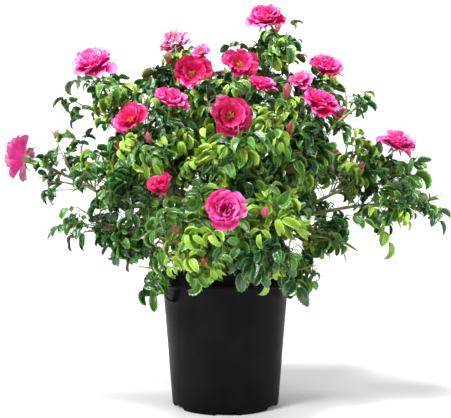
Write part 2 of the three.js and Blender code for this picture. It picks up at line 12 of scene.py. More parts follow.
import bmesh
import bpy
import numpy as np
from mathutils import Matrix, Vector, noise


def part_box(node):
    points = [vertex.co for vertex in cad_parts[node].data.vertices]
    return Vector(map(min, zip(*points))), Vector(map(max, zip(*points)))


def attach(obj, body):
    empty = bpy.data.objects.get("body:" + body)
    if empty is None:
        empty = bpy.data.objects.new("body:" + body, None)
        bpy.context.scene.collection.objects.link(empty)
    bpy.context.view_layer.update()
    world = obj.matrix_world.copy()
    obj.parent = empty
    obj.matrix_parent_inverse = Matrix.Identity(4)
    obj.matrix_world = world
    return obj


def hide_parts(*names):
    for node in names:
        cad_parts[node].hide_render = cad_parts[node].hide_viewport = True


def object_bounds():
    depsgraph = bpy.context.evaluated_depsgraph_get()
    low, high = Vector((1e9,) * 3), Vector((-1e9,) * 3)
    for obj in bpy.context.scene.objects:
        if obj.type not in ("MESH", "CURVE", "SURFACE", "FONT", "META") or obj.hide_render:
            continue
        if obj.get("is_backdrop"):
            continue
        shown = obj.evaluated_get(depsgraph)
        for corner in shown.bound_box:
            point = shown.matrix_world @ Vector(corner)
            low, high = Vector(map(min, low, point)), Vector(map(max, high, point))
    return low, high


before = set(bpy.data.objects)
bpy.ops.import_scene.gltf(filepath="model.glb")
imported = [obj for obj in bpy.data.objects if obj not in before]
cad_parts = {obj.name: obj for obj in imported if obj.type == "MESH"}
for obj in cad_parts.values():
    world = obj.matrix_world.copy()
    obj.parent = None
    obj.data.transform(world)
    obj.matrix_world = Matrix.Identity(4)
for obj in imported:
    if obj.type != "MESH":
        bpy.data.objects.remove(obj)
cad_low, cad_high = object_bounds()
MM = 0.001  # the plant is grown in millimetres, and a mesh is made in metres
print("nodes in the frame:", len(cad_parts))
print("the frame is", [round(side, 3) for side in (cad_high - cad_low)], "metres")

# %% [markdown]
# ## The studio
#
# The plant stands on a pale floor that curves up behind it into a pale wall, so that no horizon
# cuts the crown. The camera stands a little over a metre away, just above the pot's rim, and
# stays level, so that the pot's sides stay true. Its picture is shifted up to take in the crown.
# Light could come from one lamp, but a glossy leaf and satin plastic only show their shape when
# they mirror something broad and soft. So there are four panels, two at the sides, one above
# and one for the wall, and a dim white world to fill the shadows.

# %% The camera
CAMERA_DISTANCE = 1.10
CAMERA_HEIGHT = 0.285
CAMERA_RISE = 0.0953  # how far the picture is shifted up, as a share of its width
LENS_MM = 46.0

scene = bpy.context.scene


def put_in_scene(name, data):
    """A new object in the scene, at the origin."""
    made = bpy.data.objects.new(name, data)
    scene.collection.objects.link(made)
    return made


camera = put_in_scene("camera", bpy.data.cameras.new("camera"))
camera.data.lens = LENS_MM
camera.data.clip_start = 0.02
camera.location = (0, -CAMERA_DISTANCE, CAMERA_HEIGHT)
camera.data.shift_y = CAMERA_RISE
camera.rotation_euler = (math.pi / 2, 0, 0)
scene.camera = camera
scene.view_settings.view_transform = "Standard"
print("the camera stands level,", CAMERA_HEIGHT, "metres up")

# %% The light panels and the world
BUSH_MIDDLE = (0, 0, 0.4)
WALL_MIDDLE = (0, 3.0, 0.8)
PANELS = {  # place, size, watts, and what it faces
    "panel_left": ((-1.5, -1.5, 1.6), (0.6, 0.6), 62, BUSH_MIDDLE),
    "panel_right": ((1.8, -0.9, 0.8), (0.6, 1.4), 18, BUSH_MIDDLE),
    "panel_top": ((-0.2, -0.4, 2.0), (0.6, 0.6), 62, BUSH_MIDDLE),
    "panel_wall": ((0, 1.3, 2.6), (3.0, 0.8), 54, WALL_MIDDLE),
}
WORLD_STRENGTH = 0.19
for name, (place, size, watts, target) in PANELS.items():
    light = put_in_scene(name, bpy.data.lights.new(name, "AREA"))
    light.data.shape = "RECTANGLE"
    light.data.size, light.data.size_y = size
    light.data.energy = watts
    light.location = place
    aim = Vector(target) - Vector(place)
    light.rotation_euler = aim.to_track_quat("-Z", "Y").to_euler()

world = bpy.data.worlds.new("pale_room")
world.use_nodes = True
background = world.node_tree.nodes["Background"]
background.inputs["Color"].default_value = (1, 1, 1, 1)
background.inputs["Strength"].default_value = WORLD_STRENGTH
scene.world = world
print("panels:", list(PANELS))

# %% [markdown]
# ## Finishes
#
# One flat colour never looks like a real surface, because bark, plastic and leaves all vary a
# little from place to place. A short helper gives each finish two colours, a grain that mixes
# them, and a bump of its own scale. The grain is laid out on Object coordinates. That works
# because every finished piece sits unturned at the origin, so the pattern stays put on it. Below
# it, three smaller helpers add a node and wire it in one line.


# %% Helpers for shader nodes
def feed(finish, node, inputs):
    """Sets a node's inputs: each takes a plain value or another node's output."""
    for name, value in inputs.items():
        if isinstance(value, bpy.types.NodeSocket):
            finish.node_tree.links.new(value, node.inputs[name])
        else:
            node.inputs[name].default_value = value


def add_node(finish, kind, inputs=None, **settings):
    """A new node of a finish, with its settings and inputs."""
    node = finish.node_tree.nodes.new(f"ShaderNode{kind}")
    for name, value in settings.items():
        setattr(node, name, value)
    feed(finish, node, inputs or {})
    return node


def feed_surface(finish, **inputs):
    """Sets inputs of the surface, whose names are written with underscores."""
    named = {name.replace("_", " "): value for name, value in inputs.items()}
    feed(finish, finish.node_tree.nodes["Principled BSDF"], named)


# %% A helper for finishes with a grain
def grainy(name, dark, light, grain, roughness, bump=0.2, stretch=(1, 1, 1), detail=4, specular=0.5):
    """A finish whose colour runs from dark to light in a grain of so many spots a metre."""
    finish = bpy.data.materials.new(name)
    finish.use_nodes = True
    finish.diffuse_color = (*light, 1)
    place = add_node(finish, "TexCoord").outputs["Object"]
    laid = add_node(finish, "Mapping", {"Scale": stretch, "Vector": place}).outputs["Vector"]
    noisy = add_node(finish, "TexNoise", {"Scale": grain, "Detail": detail, "Vector": laid})
    spots = noisy.outputs["Fac"]
    ramp = add_node(finish, "ValToRGB", {"Fac": spots})
    for stop, position, colour in zip(ramp.color_ramp.elements, (0.3, 0.7), (dark, light)):
        stop.position = position
        stop.color = (*colour, 1)
    least, most = roughness - 0.06, roughness + 0.08
    rough = add_node(finish, "MapRange", {"To Min": least, "To Max": most, "Value": spots})
    relief = add_node(finish, "Bump", {"Strength": bump, "Distance": 0.4 / grain, "Height": spots})
    feed_surface(finish, Base_Color=ramp.outputs["Color"], Roughness=rough.outputs["Result"])
    feed_surface(finish, Normal=relief.outputs["Normal"], Specular_IOR_Level=specular)
    return finish


floor_finish = grainy("pale_floor", (0.86, 0.86, 0.86), (0.9, 0.9, 0.9), 3, 0.7, bump=0.02)
print("first finish:", floor_finish.name)

# %% [markdown]
# ## The floor and the wall
#
# A flat plane would end in a line behind the plant. One strip of mesh is pushed out from an edge
# instead: back along the floor, round a wide curve and up. Extruding the same edge again and
# again is the plainest way to lay such a sweep. A helper then turns the worked shape into a
# mesh, as it does for every later one.


# %% A helper that closes a bmesh
def as_mesh(bm, name):
    """The worked bmesh as a mesh, with its memory given back."""
    mesh = bpy.data.meshes.new(name)
    bm.to_mesh(mesh)
    bm.free()
    return mesh


# %% The sweep
FLOOR_FRONT = -3.0
FLOOR_BACK = 1.6
SWEEP_RADIUS = 1.2
SWEEP_STEPS = 14
WALL_TOP = 4.5
SWEEP_WIDTH = 9.0

sweep = bmesh.new()
ends = [sweep.verts.new((side * SWEEP_WIDTH / 2, FLOOR_FRONT, 0)) for side in (-1, 1)]
edge = sweep.edges.new(ends)
stops = [(FLOOR_BACK, 0)]
for i in range(1, SWEEP_STEPS + 1):
    turn = math.pi / 2 * i / SWEEP_STEPS
    stops.append((FLOOR_BACK + SWEEP_RADIUS * math.sin(turn), SWEEP_RADIUS * (1 - math.cos(turn))))
stops.append((FLOOR_BACK + SWEEP_RADIUS, WALL_TOP))
for back, up in stops:
    grown = bmesh.ops.extrude_edge_only(sweep, edges=[edge])["geom"]
    edge = next(item for item in grown if isinstance(item, bmesh.types.BMEdge))
    for corner in edge.verts:
        corner.co.y = back
        corner.co.z = up
sweep_mesh = as_mesh(sweep, "floor")
sweep_mesh.shade_smooth()
sweep_mesh.materials.append(floor_finish)
put_in_scene("floor", sweep_mesh)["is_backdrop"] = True
print("the sweep has", len(sweep_mesh.polygons), "faces")

# %% [markdown]
# ## Putting a piece on the frame
#
# Each finished piece rides on the frame's one body, hides the solids that it stands for, and
# prints how many they are. Doing that in one place keeps it from being forgotten.


# %% A helper that finishes a piece
def finish_piece(name, mesh, finishes, nodes=()):
    """Makes the mesh an object in its place, and hides the solids that it stands for."""
    piece = put_in_scene(name, mesh)
    mesh.shade_smooth()
    for finish in finishes:
        mesh.materials.append(finish)
    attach(piece, "root")
    if nodes:
        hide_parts(*nodes)
    mesh.calc_loop_triangles()
    print(f"{name}: {len(mesh.loop_triangles)} triangles, stands for {len(nodes)} solids")
    return piece


# %% [markdown]
# ## The pot
#
# The real pot is blow-moulded: a tapering wall, a raised ridge under a recessed collar, a rolled
# lip, and a foot whose edge is nipped into small teeth where the mould closes. Six drain holes
# are cut through the corner of the foot. A profile spun round the axis gives the body in one
# go. The teeth are then a small wave in its lowest rings, and the holes are cut with rounded
# blocks, because a spun mesh alone can't hold an opening.

# %% The pot's sizes
_, pot_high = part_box("pot")
POT_HEIGHT = pot_high.z
LIP_RADIUS = pot_high.x
POT_BASE_RADIUS = LIP_RADIUS - 0.0212
POT_TOP_RADIUS = LIP_RADIUS - 0.0032
COLLAR_RADIUS = LIP_RADIUS - 0.004
RIDGE_RADIUS = LIP_RADIUS - 0.0014
RIDGE_HEIGHT = 0.220
POT_WALL = 0.0022
POT_FLOOR = 0.003
TEETH = 84
TOOTH_DEPTH = 0.0011
TOOTH_HEIGHT = 0.011
DRAIN_HOLES = 6
DRAIN_WIDTH = 0.038
DRAIN_HEIGHT = 0.007
DRAIN_DEPTH = 0.022
DRAIN_ROUNDING = 0.0022
SPIN_STEPS = TEETH * 4


def wall_radius(height):
    """The outside of the wall at a height under the ridge."""
    return POT_BASE_RADIUS + (POT_TOP_RADIUS - POT_BASE_RADIUS) * height / RIDGE_HEIGHT


print("the pot is", round(POT_HEIGHT, 3), "high and", round(2 * LIP_RADIUS, 3), "across")


# %% The pot's profile, spun
def arc(centre, radius, start, end, steps):
    """Points on a round stretch of a profile, from one angle to another."""
    angles = [math.radians(start + (end - start) * i / steps) for i in range(steps + 1)]
    return [(centre[0] + radius * math.cos(a), centre[1] + radius * math.sin(a)) for a in angles]


def spun(profile, steps, merge=1e-5):
    """A profile of radii and heights, spun a full turn, with an open foot filled."""
    bm = bmesh.new()
    ring = [bm.verts.new((radius, 0, height)) for radius, height in profile]
    line = [bm.edges.new(pair) for pair in zip(ring, ring[1:])]
    bmesh.ops.spin(
        bm, geom=ring + line, cent=(0, 0, 0), axis=(0, 0, 1), angle=math.tau, steps=steps, use_merge=True
    )
    bmesh.ops.remove_doubles(bm, verts=bm.verts, dist=merge)
    if profile[0][0] > 0:
        bmesh.ops.holes_fill(bm, edges=bm.edges, sides=0)
    bmesh.ops.recalc_face_normals(bm, faces=bm.faces)
    return bm


corner = 0.003
rounding = 0.0012
profile = [(0.0, 0.0015), (0.06, 0.0015), (0.066, 0.0), (POT_BASE_RADIUS - 2 * corner, 0.0)]
profile += arc((POT_BASE_RADIUS - corner, corner), corner, -80, 0, 5)
profile += [(wall_radius(h), h) for h in (0.006, 0.009, TOOTH_HEIGHT + 0.002, 0.06, 0.12, 0.18)]
profile += [(wall_radius(RIDGE_HEIGHT - 0.002), RIDGE_HEIGHT - 0.002)]
profile += arc((RIDGE_RADIUS - rounding, RIDGE_HEIGHT + 0.002), rounding, -60, 0, 3)
profile += arc((RIDGE_RADIUS - rounding, RIDGE_HEIGHT + 0.006), rounding, 0, 80, 3)
profile += [(COLLAR_RADIUS, RIDGE_HEIGHT + 0.009), (COLLAR_RADIUS, POT_HEIGHT - 0.008)]
profile += arc((LIP_RADIUS - rounding, POT_HEIGHT - 0.005), rounding, -80, 0, 3)
profile += arc((LIP_RADIUS - rounding, POT_HEIGHT - rounding), rounding, 0, 90, 4)
profile += arc((COLLAR_RADIUS - POT_WALL + rounding, POT_HEIGHT - rounding), rounding, 90, 180, 4)
profile += [(wall_radius(h) - POT_WALL, h) for h in (RIDGE_HEIGHT, 0.15, 0.08, 0.006)]
profile += [(POT_BASE_RADIUS - 0.008, POT_FLOOR + 0.0015), (0.0, POT_FLOOR + 0.0015)]

pot = spun(profile, SPIN_STEPS)
for vertex in pot.verts:
    radius = math.hypot(vertex.co.x, vertex.co.y)
    if vertex.co.z < TOOTH_HEIGHT and radius > POT_BASE_RADIUS - 2 * corner:
        share = 1 - vertex.co.z / TOOTH_HEIGHT
        wave = 0.5 - 0.5 * math.cos(TEETH * math.atan2(vertex.co.y, vertex.co.x))
        nip = 1 - TOOTH_DEPTH * share * wave / radius
        vertex.co.x *= nip
        vertex.co.y *= nip
print("the spun pot has", len(pot.faces), "faces")

# %% The drain holes
shell = put_in_scene("pot_uncut", as_mesh(pot, "pot_shell"))

cutters = bmesh.new()
for i in range(DRAIN_HOLES):
    turn = math.tau * i / DRAIN_HOLES - math.pi / 2
    place = Matrix.Rotation(turn, 4, "Z") @ Matrix.Translation((POT_BASE_RADIUS, 0, -0.001))
    size = Matrix.Diagonal((DRAIN_DEPTH, DRAIN_WIDTH, 2 * DRAIN_HEIGHT, 1))
    made = bmesh.ops.create_cube(cutters, size=1, matrix=place @ size)["verts"]
    upright = {e for v in made for e in v.link_edges}
    bmesh.ops.bevel(
        cutters,
        geom=list(upright),
        offset=DRAIN_ROUNDING,
        affect="EDGES",
        segments=3,
        profile=0.5,
        material=-1,
    )
cutter = put_in_scene("drain_cutters", as_mesh(cutters, "drain_cutters"))
cut = shell.modifiers.new("drains", "BOOLEAN")
cut.operation = "DIFFERENCE"
cut.object = cutter
cut.solver = "EXACT"
bpy.context.view_layer.update()
cut_mesh = bpy.data.meshes.new_from_object(shell.evaluated_get(bpy.context.evaluated_depsgraph_get()))
for spare in (shell, cutter):
    bpy.data.objects.remove(spare)
pot_plastic = grainy(
    "pot_plastic", (0.0025, 0.0025, 0.0031), (0.0048, 0.0048, 0.0058), 26, 0.42, bump=0.05, specular=0.05
)
cut_mesh.materials.clear()
cut_mesh.name = "pot_wall"
pot_piece = finish_piece("pot_wall", cut_mesh, [pot_plastic], ["pot"])
pot_piece.data.set_sharp_from_angle(angle=math.radians(50))

# %% [markdown]
# ## The potting mix
#
# The mix is a loose surface of peat and composted bark, a finger below the rim. A disc whose
# rings rise and fall with noise gives the ground. Chips of bark lie on it: a few hundred small
# beveled slabs are cheap as one joined mesh from arrays, and they catch light as a texture can't.

# %% The ground of the mix
_, soil_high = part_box("potting_mix")
SOIL_TOP = soil_high.z
SOIL_EDGE = SOIL_TOP - 0.014
SOIL_FOOT = 0.03
SOIL_GAP = 0.0003  # from the wall of the pot
SOIL_RADIUS = wall_radius(SOIL_EDGE) - POT_WALL - SOIL_GAP
SOIL_RINGS = 40

soil_profile = [(SOIL_RADIUS * i / SOIL_RINGS, SOIL_TOP) for i in range(SOIL_RINGS)]
soil_profile += [(SOIL_RADIUS, SOIL_EDGE)]
soil_profile += [(wall_radius(SOIL_FOOT) - POT_WALL - SOIL_GAP, SOIL_FOOT), (0, SOIL_FOOT)]
soil = spun(soil_profile, 96)
for vertex in soil.verts:
    radius = math.hypot(vertex.co.x, vertex.co.y)
    if vertex.co.z > SOIL_TOP - 0.001:
        vertex.co.z -= 0.012 * max(0, radius / SOIL_RADIUS - 0.82) / 0.18
        vertex.co.z += 0.0022 * noise.noise(vertex.co * 90) + 0.0014 * noise.noise(vertex.co * 260) - 0.001
soil_mesh = as_mesh(soil, "potting_mix_ground")
mix_finish = grainy(
    "potting_mix_finish", (0.018, 0.011, 0.007), (0.085, 0.055, 0.036), 240, 0.85, bump=0.8, detail=8
)
finish_piece("potting_mix_ground", soil_mesh, [mix_finish], ["potting_mix"])

# %% [markdown]
# ## Chance that can be repeated
#
# A plant looks alive because no two twigs match, but this plant has to grow the same way each
# time, and the same way as its solids. So nothing here is truly random. Three whole numbers, the
# seed of a mass, the shoot and the place on it, start a small generator that always gives the
# same stream.


# %% The rule of chance, and directions
def chance(seed, shoot, place):
    """The same three whole numbers always give the same stream of numbers from 0 to 1."""
    state = ((seed + 1) * 73856093 ^ (shoot + 1) * 19349663 ^ (place + 1) * 83492791) & 0xFFFFFFFF

    def draw():
        nonlocal state
        state = (state * 1664525 + 1013904223) & 0xFFFFFFFF
        return state / 4294967296

    draw()
    draw()
    return draw


def direction(heading, pitch):
    """A unit vector from a compass heading and a pitch, in degrees."""
    flat = math.cos(math.radians(pitch))
    turn = math.radians(heading)
    return Vector((flat * math.cos(turn), flat * math.sin(turn), math.sin(math.radians(pitch))))


UP = Vector((0, 0, 1))


def side_of(along):
    """A level direction to one side of along."""
    side = along.cross(UP)
    return (along.cross(Vector((1, 0, 0))) if side.length < 0.2 else side).normalized()


def away_from(along, angle, turn):
    """A direction at an angle from along, turned round it."""
    side = side_of(along)
    over = side.cross(along).normalized()
    lean = math.radians(angle)
    spin = math.radians(turn)
    ring = side * math.cos(spin) + over * math.sin(spin)
    return (along * math.cos(lean) + ring * math.sin(lean)).normalized()


sample = chance(532, 0, 0)
print("the first three numbers of one stream:", [round(sample(), 4) for _ in range(3)])

# %% [markdown]
# ## Twelve canes and thirteen forks
#
# A shrub rose sends up canes from one knobbly stem, and most of them fork once. Each limb is a
# smooth curve that leaves steeply, leans out, and hangs a little at its tip. A table holds only
# what is particular to a limb: where it leaves, where it ends, how much it droops, and how long
# and wide the mass of foliage round its end is. The freshness says how many of its leaves are
# this season's bright ones.

# %% The canes and the forks
# heading, height, tip, droop, length and width of the mass, seed, freshness
CANES = {
    "top": (0, 270, (88, -4, 712), -8, 330, 230, 532, 0.45),
    "top_left": (140, 266, (-98, 30, 690), -4, 250, 200, 745, 0.45),
    "left_high": (176, 268, (-246, -18, 622), -6, 210, 176, 808, 0.3),
    "left_low": (205, 250, (-258, -60, 320), 30, 220, 170, 126, 0.05),
    "left_middle": (236, 264, (-186, -112, 500), 8, 240, 220, 1214, 0.35),
    "front_middle": (270, 252, (4, -214, 452), 14, 300, 240, 189, 0.6),
    "right_middle": (304, 266, (142, -118, 520), 4, 280, 250, 1060, 0.3),
    "right_reach": (338, 253, (330, 8, 462), 0, 220, 230, 616, 0.45),
    "right_high": (10, 266, (192, 14, 628), -4, 240, 210, 850, 0.2),
    "back_right": (42, 252, (222, 186, 486), 6, 260, 240, 168, 0.25),
    "back_top": (76, 267, (-16, 148, 656), -2, 270, 240, 238, 0.3),
    "back_left": (108, 252, (-216, 190, 500), 6, 260, 240, 280, 0.25),
}
UPRIGHT = "top"
# cane and place along it where the fork leaves, then as above
FORKS = {
    "top_middle": ("top", 0.3, (14, -64, 606), -4, 210, 190, 752, 0.3),
    "left_reach": ("left_low", 0.3, (-372, -28, 452), 16, 230, 150, 245, 0.3),
    "left_inner": ("left_middle", 0.28, (-216, -96, 396), 20, 190, 180, 644, 0.1),
    "left_rim": ("left_middle", 0.2, (-126, -112, 222), 34, 140, 130, 196, 0.05),
    "front_low_left": ("front_middle", 0.2, (-66, -232, 272), 34, 220, 180, 770, 0.42),
    "front_low_right": ("right_middle", 0.22, (64, -226, 266), 34, 220, 180, 1095, 0.35),
    "right_rim": ("right_middle", 0.14, (132, -112, 224), 46, 130, 130, 231, 0.05),
    "right_low": ("right_reach", 0.16, (232, -92, 286), 34, 220, 190, 787, 0.1),
    "right_shoulder": ("right_high", 0.3, (260, -16, 566), 12, 140, 120, 1123, 0.2),
    "right_out": ("right_reach", 0.34, (392, -30, 350), 28, 240, 200, 619, 0.3),
    "back_low_left": ("back_left", 0.24, (-176, 176, 296), 30, 220, 200, 77, 0.2),
    "back_low": ("back_top", 0.16, (6, 250, 330), 30, 230, 200, 738, 0.4),
    "back_low_right": ("back_right", 0.24, (186, 160, 292), 30, 220, 200, 941, 0.2),
}
print(len(CANES), "canes and", len(FORKS), "forks")

# %% [markdown]
# ## Curves for the limbs
#
# Each limb follows a cubic curve with two handles. One points the way that the limb starts, and
# the other the way that it arrives. Blender has curve objects for this, but four lines of
# arithmetic give a point and a direction anywhere along it, which is all that growing needs.

# %% One limb as a curve
CURVE_HANDLE = 0.36
CANE_START = 12
LAUNCH_LIFT = 22
LAUNCH_STEEPEST = 58
STEEPEST = 86
CANE_RADIUS = 4.4
FORK_RADIUS = 3.6
TIP_RADIUS = 2.3
FORK_SHOULDER = 0.14


class Curve:
    """A curve through control points: two make a straight line, three or four a bend."""

    def __init__(self, *controls):
        self.controls = [Vector(c) for c in controls]

    def at(self, t):
        points = self.controls
        while len(points) > 1:
            points = [a.lerp(b, t) for a, b in zip(points, points[1:])]
        return points[0]

    def along(self, t):
        return (self.at(min(1, t + 1e-3)) - self.at(max(0, t - 1e-3))).normalized()

    def length(self):
        points = [self.at(i / 40) for i in range(41)]
        return sum((b - a).length for a, b in zip(points, points[1:]))


class Limb:
    """A cane or a fork, with the mass of foliage that it carries."""

    def __init__(self, name, start, launch, radius, tip, droop, long, wide, seed, fresh):
        tip = Vector(tip)
        way = (tip - start).normalized()
        heading = math.degrees(math.atan2(way.y, way.x))
        pitch = math.degrees(math.asin(way.z))
        self.arrive = direction(heading, min(STEEPEST, pitch - droop))
        handle = (tip - start).length * CURVE_HANDLE
        self.curve = Curve(start, start + launch * handle, tip - self.arrive * handle, tip)
        self.name, self.radius, self.tip = name, radius, tip
        self.long, self.wide, self.seed, self.fresh = long, wide, seed, fresh

    def radius_at(self, t):
        return self.radius + (TIP_RADIUS - self.radius) * t


limbs = {}
for name, (heading, height, tip, droop, long, wide, seed, fresh) in CANES.items():
    start = Vector((0, 0, height))
    if name != UPRIGHT:
        start += direction(heading, 0) * CANE_START
    rise = math.degrees(math.asin((tip[2] - start.z) / (Vector(tip) - start).length))
    launch = direction(heading, 90 if name == UPRIGHT else min(LAUNCH_STEEPEST, rise + LAUNCH_LIFT))
    limbs[name] = Limb(name, start, launch, CANE_RADIUS, tip, droop, long, wide, seed, fresh)
for name, (parent, at, tip, droop, long, wide, seed, fresh) in FORKS.items():
    start = limbs[parent].curve.at(at)
    launch = (limbs[parent].curve.along(at) * 0.5 + (Vector(tip) - start).normalized()).normalized()
    limbs[name] = Limb(name, start, launch, FORK_RADIUS, tip, droop, long, wide, seed, fresh)
print("the longest limb is", round(max(limb.curve.length() for limb in limbs.values())), "mm")

# %% [markdown]
# ## A space for each mass
#
# Foliage fills a long round space about the last stretch of its limb. Where two such spaces
# meet, a plane half-way between the two stems parts them, as shoots on a real bush turn away
# from each other's shade. With the spaces known, a shoot or a leaf is kept or left out by one
# quick test on arrays.

# %% The spaces
TIP_MARGIN = 38
SPINE = 0.4


def give_space(limb):
    """The round space about the end of a limb, and the stem's last straight part in it."""
    limb.centre = np.array(limb.tip + limb.arrive * (TIP_MARGIN - limb.long / 2))
    limb.axis = np.array(limb.arrive)
    foot = limb.tip - limb.arrive * SPINE * limb.long
    limb.spine = np.array([foot.lerp(limb.tip, i / 12) for i in range(13)])
    limb.planes = []
    limb.centre_point = Vector(limb.centre)
    limb.sprays = []


def part_spaces(one, other):
    """A plane half-way between the nearest points of two stems."""
    gaps = np.linalg.norm(one.spine[:, None] - other.spine[None], axis=2)
    near, far = np.unravel_index(gaps.argmin(), gaps.shape)
    normal = other.spine[far] - one.spine[near]
    normal /= np.linalg.norm(normal)
    limit = (one.spine[near] + other.spine[far]) @ normal / 2
    one.planes.append((*normal, limit))
    other.planes.append((*-normal, -limit))


def is_inside(limb, points, swell=1.0, overlap=-0.8):
    """Which of the points are in a limb's space, swollen and let over its planes by so much."""
    offset = np.atleast_2d(points) - limb.centre
    along = offset @ limb.axis
    across = (offset**2).sum(axis=1) - along**2
    round_part = (2 * along / limb.long) ** 2 + across / (limb.wide / 2) ** 2 <= swell**2
    planes = np.array(limb.planes)
    parted = (np.atleast_2d(points) @ planes[:, :3].T < planes[:, 3] + overlap).all(axis=1)
    return round_part & parted


all_limbs = list(limbs.values())
for limb in all_limbs:
    give_space(limb)
for i, limb in enumerate(all_limbs):
    for other in all_limbs[i + 1 :]:
        part_spaces(limb, other)
for limb in all_limbs:
    inside = [bool(is_inside(limb, limb.curve.at(i / 200))[0]) for i in range(201)]
    outside = [i for i in range(1, 201) if not inside[i]]
    limb.entry = (max(outside) + 1) / 200 if outside else 1 / 200
for parent, at, *_ in FORKS.values():
    limbs[parent].entry = max(limbs[parent].entry, at + FORK_SHOULDER)
print("limbs enter their foliage from", round(min(limb.entry for limb in all_limbs), 2), "along")

# %% [markdown]
# ## Tubes that follow a curve
#
# Stems, stalks and twigs are all tapering tubes. Along a bent curve a tube twists unless each
# ring takes its side direction from the ring before, so a helper carries that direction along.
# Thick limbs are extruded ring by ring, because their bark gets a relief. Thin ones, by the
# hundred, are worked out as arrays and joined.


# %% Rings along a curve
def rings_along(points):
    """Centre, along, side and over for each point, with as little twist as can be."""
    steps = [b - a for a, b in zip(points, points[1:])]
    alongs = [steps[0], *[a + b for a, b in zip(steps, steps[1:])], steps[-1]]
    side = side_of(alongs[0].normalized())
    rings = []
    for point, along in zip(points, alongs):
        along = along.normalized()
        side = (side - along * side.dot(along)).normalized()
        rings.append((point, along, side, along.cross(side)))
    return rings


def thin_tube(points, radii, sides=5):
    """A closed thin tube as vertices and triangles."""
    rings = rings_along(points)
    turns = [math.tau * k / sides for k in range(sides)]
    vertices = [
        centre + (side * math.cos(turn) + over * math.sin(turn)) * radius
        for (centre, _, side, over), radius in zip(rings, radii)
        for turn in turns
    ]
    faces = []
    for i in range(len(points) - 1):
        for k in range(sides):
            a, b = i * sides + k, i * sides + (k + 1) % sides
            faces += [(a, b, b + sides), (a, b + sides, a + sides)]
    vertices += [points[0], points[-1]]
    last = len(vertices) - 1
    for k in range(sides):
        top = (len(points) - 1) * sides
        faces += [(last - 1, (k + 1) % sides, k), (last, top + k, top + (k + 1) % sides)]
    return np.array(vertices), np.array(faces)


tube_vertices, tube_faces = thin_tube([Vector((0, 0, z)) for z in (0, 5, 10)], [1, 1, 0.5])
print("a three-ring tube has", len(tube_vertices), "vertices and", len(tube_faces), "triangles")


# %% Joined meshes from arrays
class Heap:
    """Small things of one kind, heaped up as arrays and joined into one mesh."""

    def __init__(self):
        self.vertices, self.faces, self.flat, self.finish = [], [], [], []
        self.count = 0

    def add(self, vertices, faces, flat=None, finish=0):
        """Adds vertices in millimetres, triangles, a place on the flat map, and a finish."""
        self.vertices.append(vertices)
        self.faces.append(faces + self.count)
        self.flat.append(np.zeros((len(vertices), 2)) if flat is None else flat)
        self.finish.append(np.full(len(faces), finish))
        self.count += len(vertices)

    def mesh(self, name):
        """The heap as one mesh in metres, with its flat map."""
        vertices = np.concatenate(self.vertices) * MM
        faces = np.concatenate(self.faces).astype(np.int32)
        mesh = bpy.data.meshes.new(name)
        mesh.vertices.add(len(vertices))
        mesh.vertices.foreach_set("co", vertices.astype(np.float32).ravel())
        mesh.loops.add(faces.size)
        mesh.loops.foreach_set("vertex_index", faces.ravel())
        mesh.polygons.add(len(faces))
        mesh.polygons.foreach_set("loop_start", np.arange(len(faces), dtype=np.int32) * 3)
        mesh.polygons.foreach_set("material_index", np.concatenate(self.finish).astype(np.int32))
        layer = mesh.uv_layers.new(name="flat_map")
        flat = np.concatenate(self.flat)[faces.ravel()]
        layer.data.foreach_set("uv", flat.astype(np.float32).ravel())
        mesh.update(calc_edges=True)
        mesh.validate()
        return mesh


# %% [markdown]
# ## Bark chips on the mix
#
# With the helper for joined meshes at hand, the chips go on. One chip is a flat slab with
# its corners pulled in. A helper turns it into arrays, and it is copied some hundreds of times
# with its own size, turn and tilt.


# %% A helper for shapes copied by the hundred
def as_arrays(bm):
    """The vertices and triangles of a worked bmesh as arrays, with its memory given back."""
    bm.verts.index_update()
    vertices = np.array([v.co for v in bm.verts])
    faces = np.array([[v.index for v in face.verts] for face in bm.faces])
    bm.free()
    return vertices, faces


# %% The chips
CHIPS = 620
CHIP_SEED = 41
chip = bmesh.new()
bmesh.ops.create_cube(chip, size=1)
bmesh.ops.bevel(
    chip, geom=list(chip.edges), offset=0.16, affect="EDGES", segments=1, profile=0.5, material=-1
)
bmesh.ops.triangulate(chip, faces=chip.faces)
chip_shape, chip_faces = as_arrays(chip)
chips = Heap()
for i in range(CHIPS):
    draw = chance(CHIP_SEED, i, 0)
    turn, far, tilt_x, tilt_y, size, spin = [draw() for _ in range(6)]
    reach = (SOIL_RADIUS / MM - 9) * math.sqrt(far)
    place = Vector((reach * math.cos(math.tau * turn), reach * math.sin(math.tau * turn), 0))
    place.z = SOIL_TOP / MM - 2.2 - (10 if reach > 104 else 0) + 1.4 * tilt_x
    tilt = Matrix.Rotation(0.9 * (tilt_x - 0.5), 3, "X") @ Matrix.Rotation(0.9 * (tilt_y - 0.5), 3, "Y")
    shape = tilt @ Matrix.Rotation(math.tau * spin, 3, "Z") @ Matrix.Diagonal(
        (5 + 9 * size, 3 + 4 * tilt_y, 1.6 + 1.6 * size)
    )
    chips.add(chip_shape @ np.array(shape).T + np.array(place), chip_faces)
chip_finish = grainy(
    "bark_chips", (0.05, 0.027, 0.015), (0.16, 0.1, 0.06), 160, 0.8, bump=0.5, stretch=(1, 1, 3), detail=6
)
finish_piece("bark_chips", chips.mesh("bark_chips"), [chip_finish])

# %% [markdown]
# ## The stem and the limbs, with their bark
#
# The stem is a knobbly head that was pruned and shot again. Its profile is spun, and noise
# swells and furrows it. The limbs are rings extruded one after another along their curves. Every
# few centimetres a limb has a joint, where a leaf once sat: a slight swelling. Old wood is brown
# and rough low down, and the young forks are green with a reddish grain.

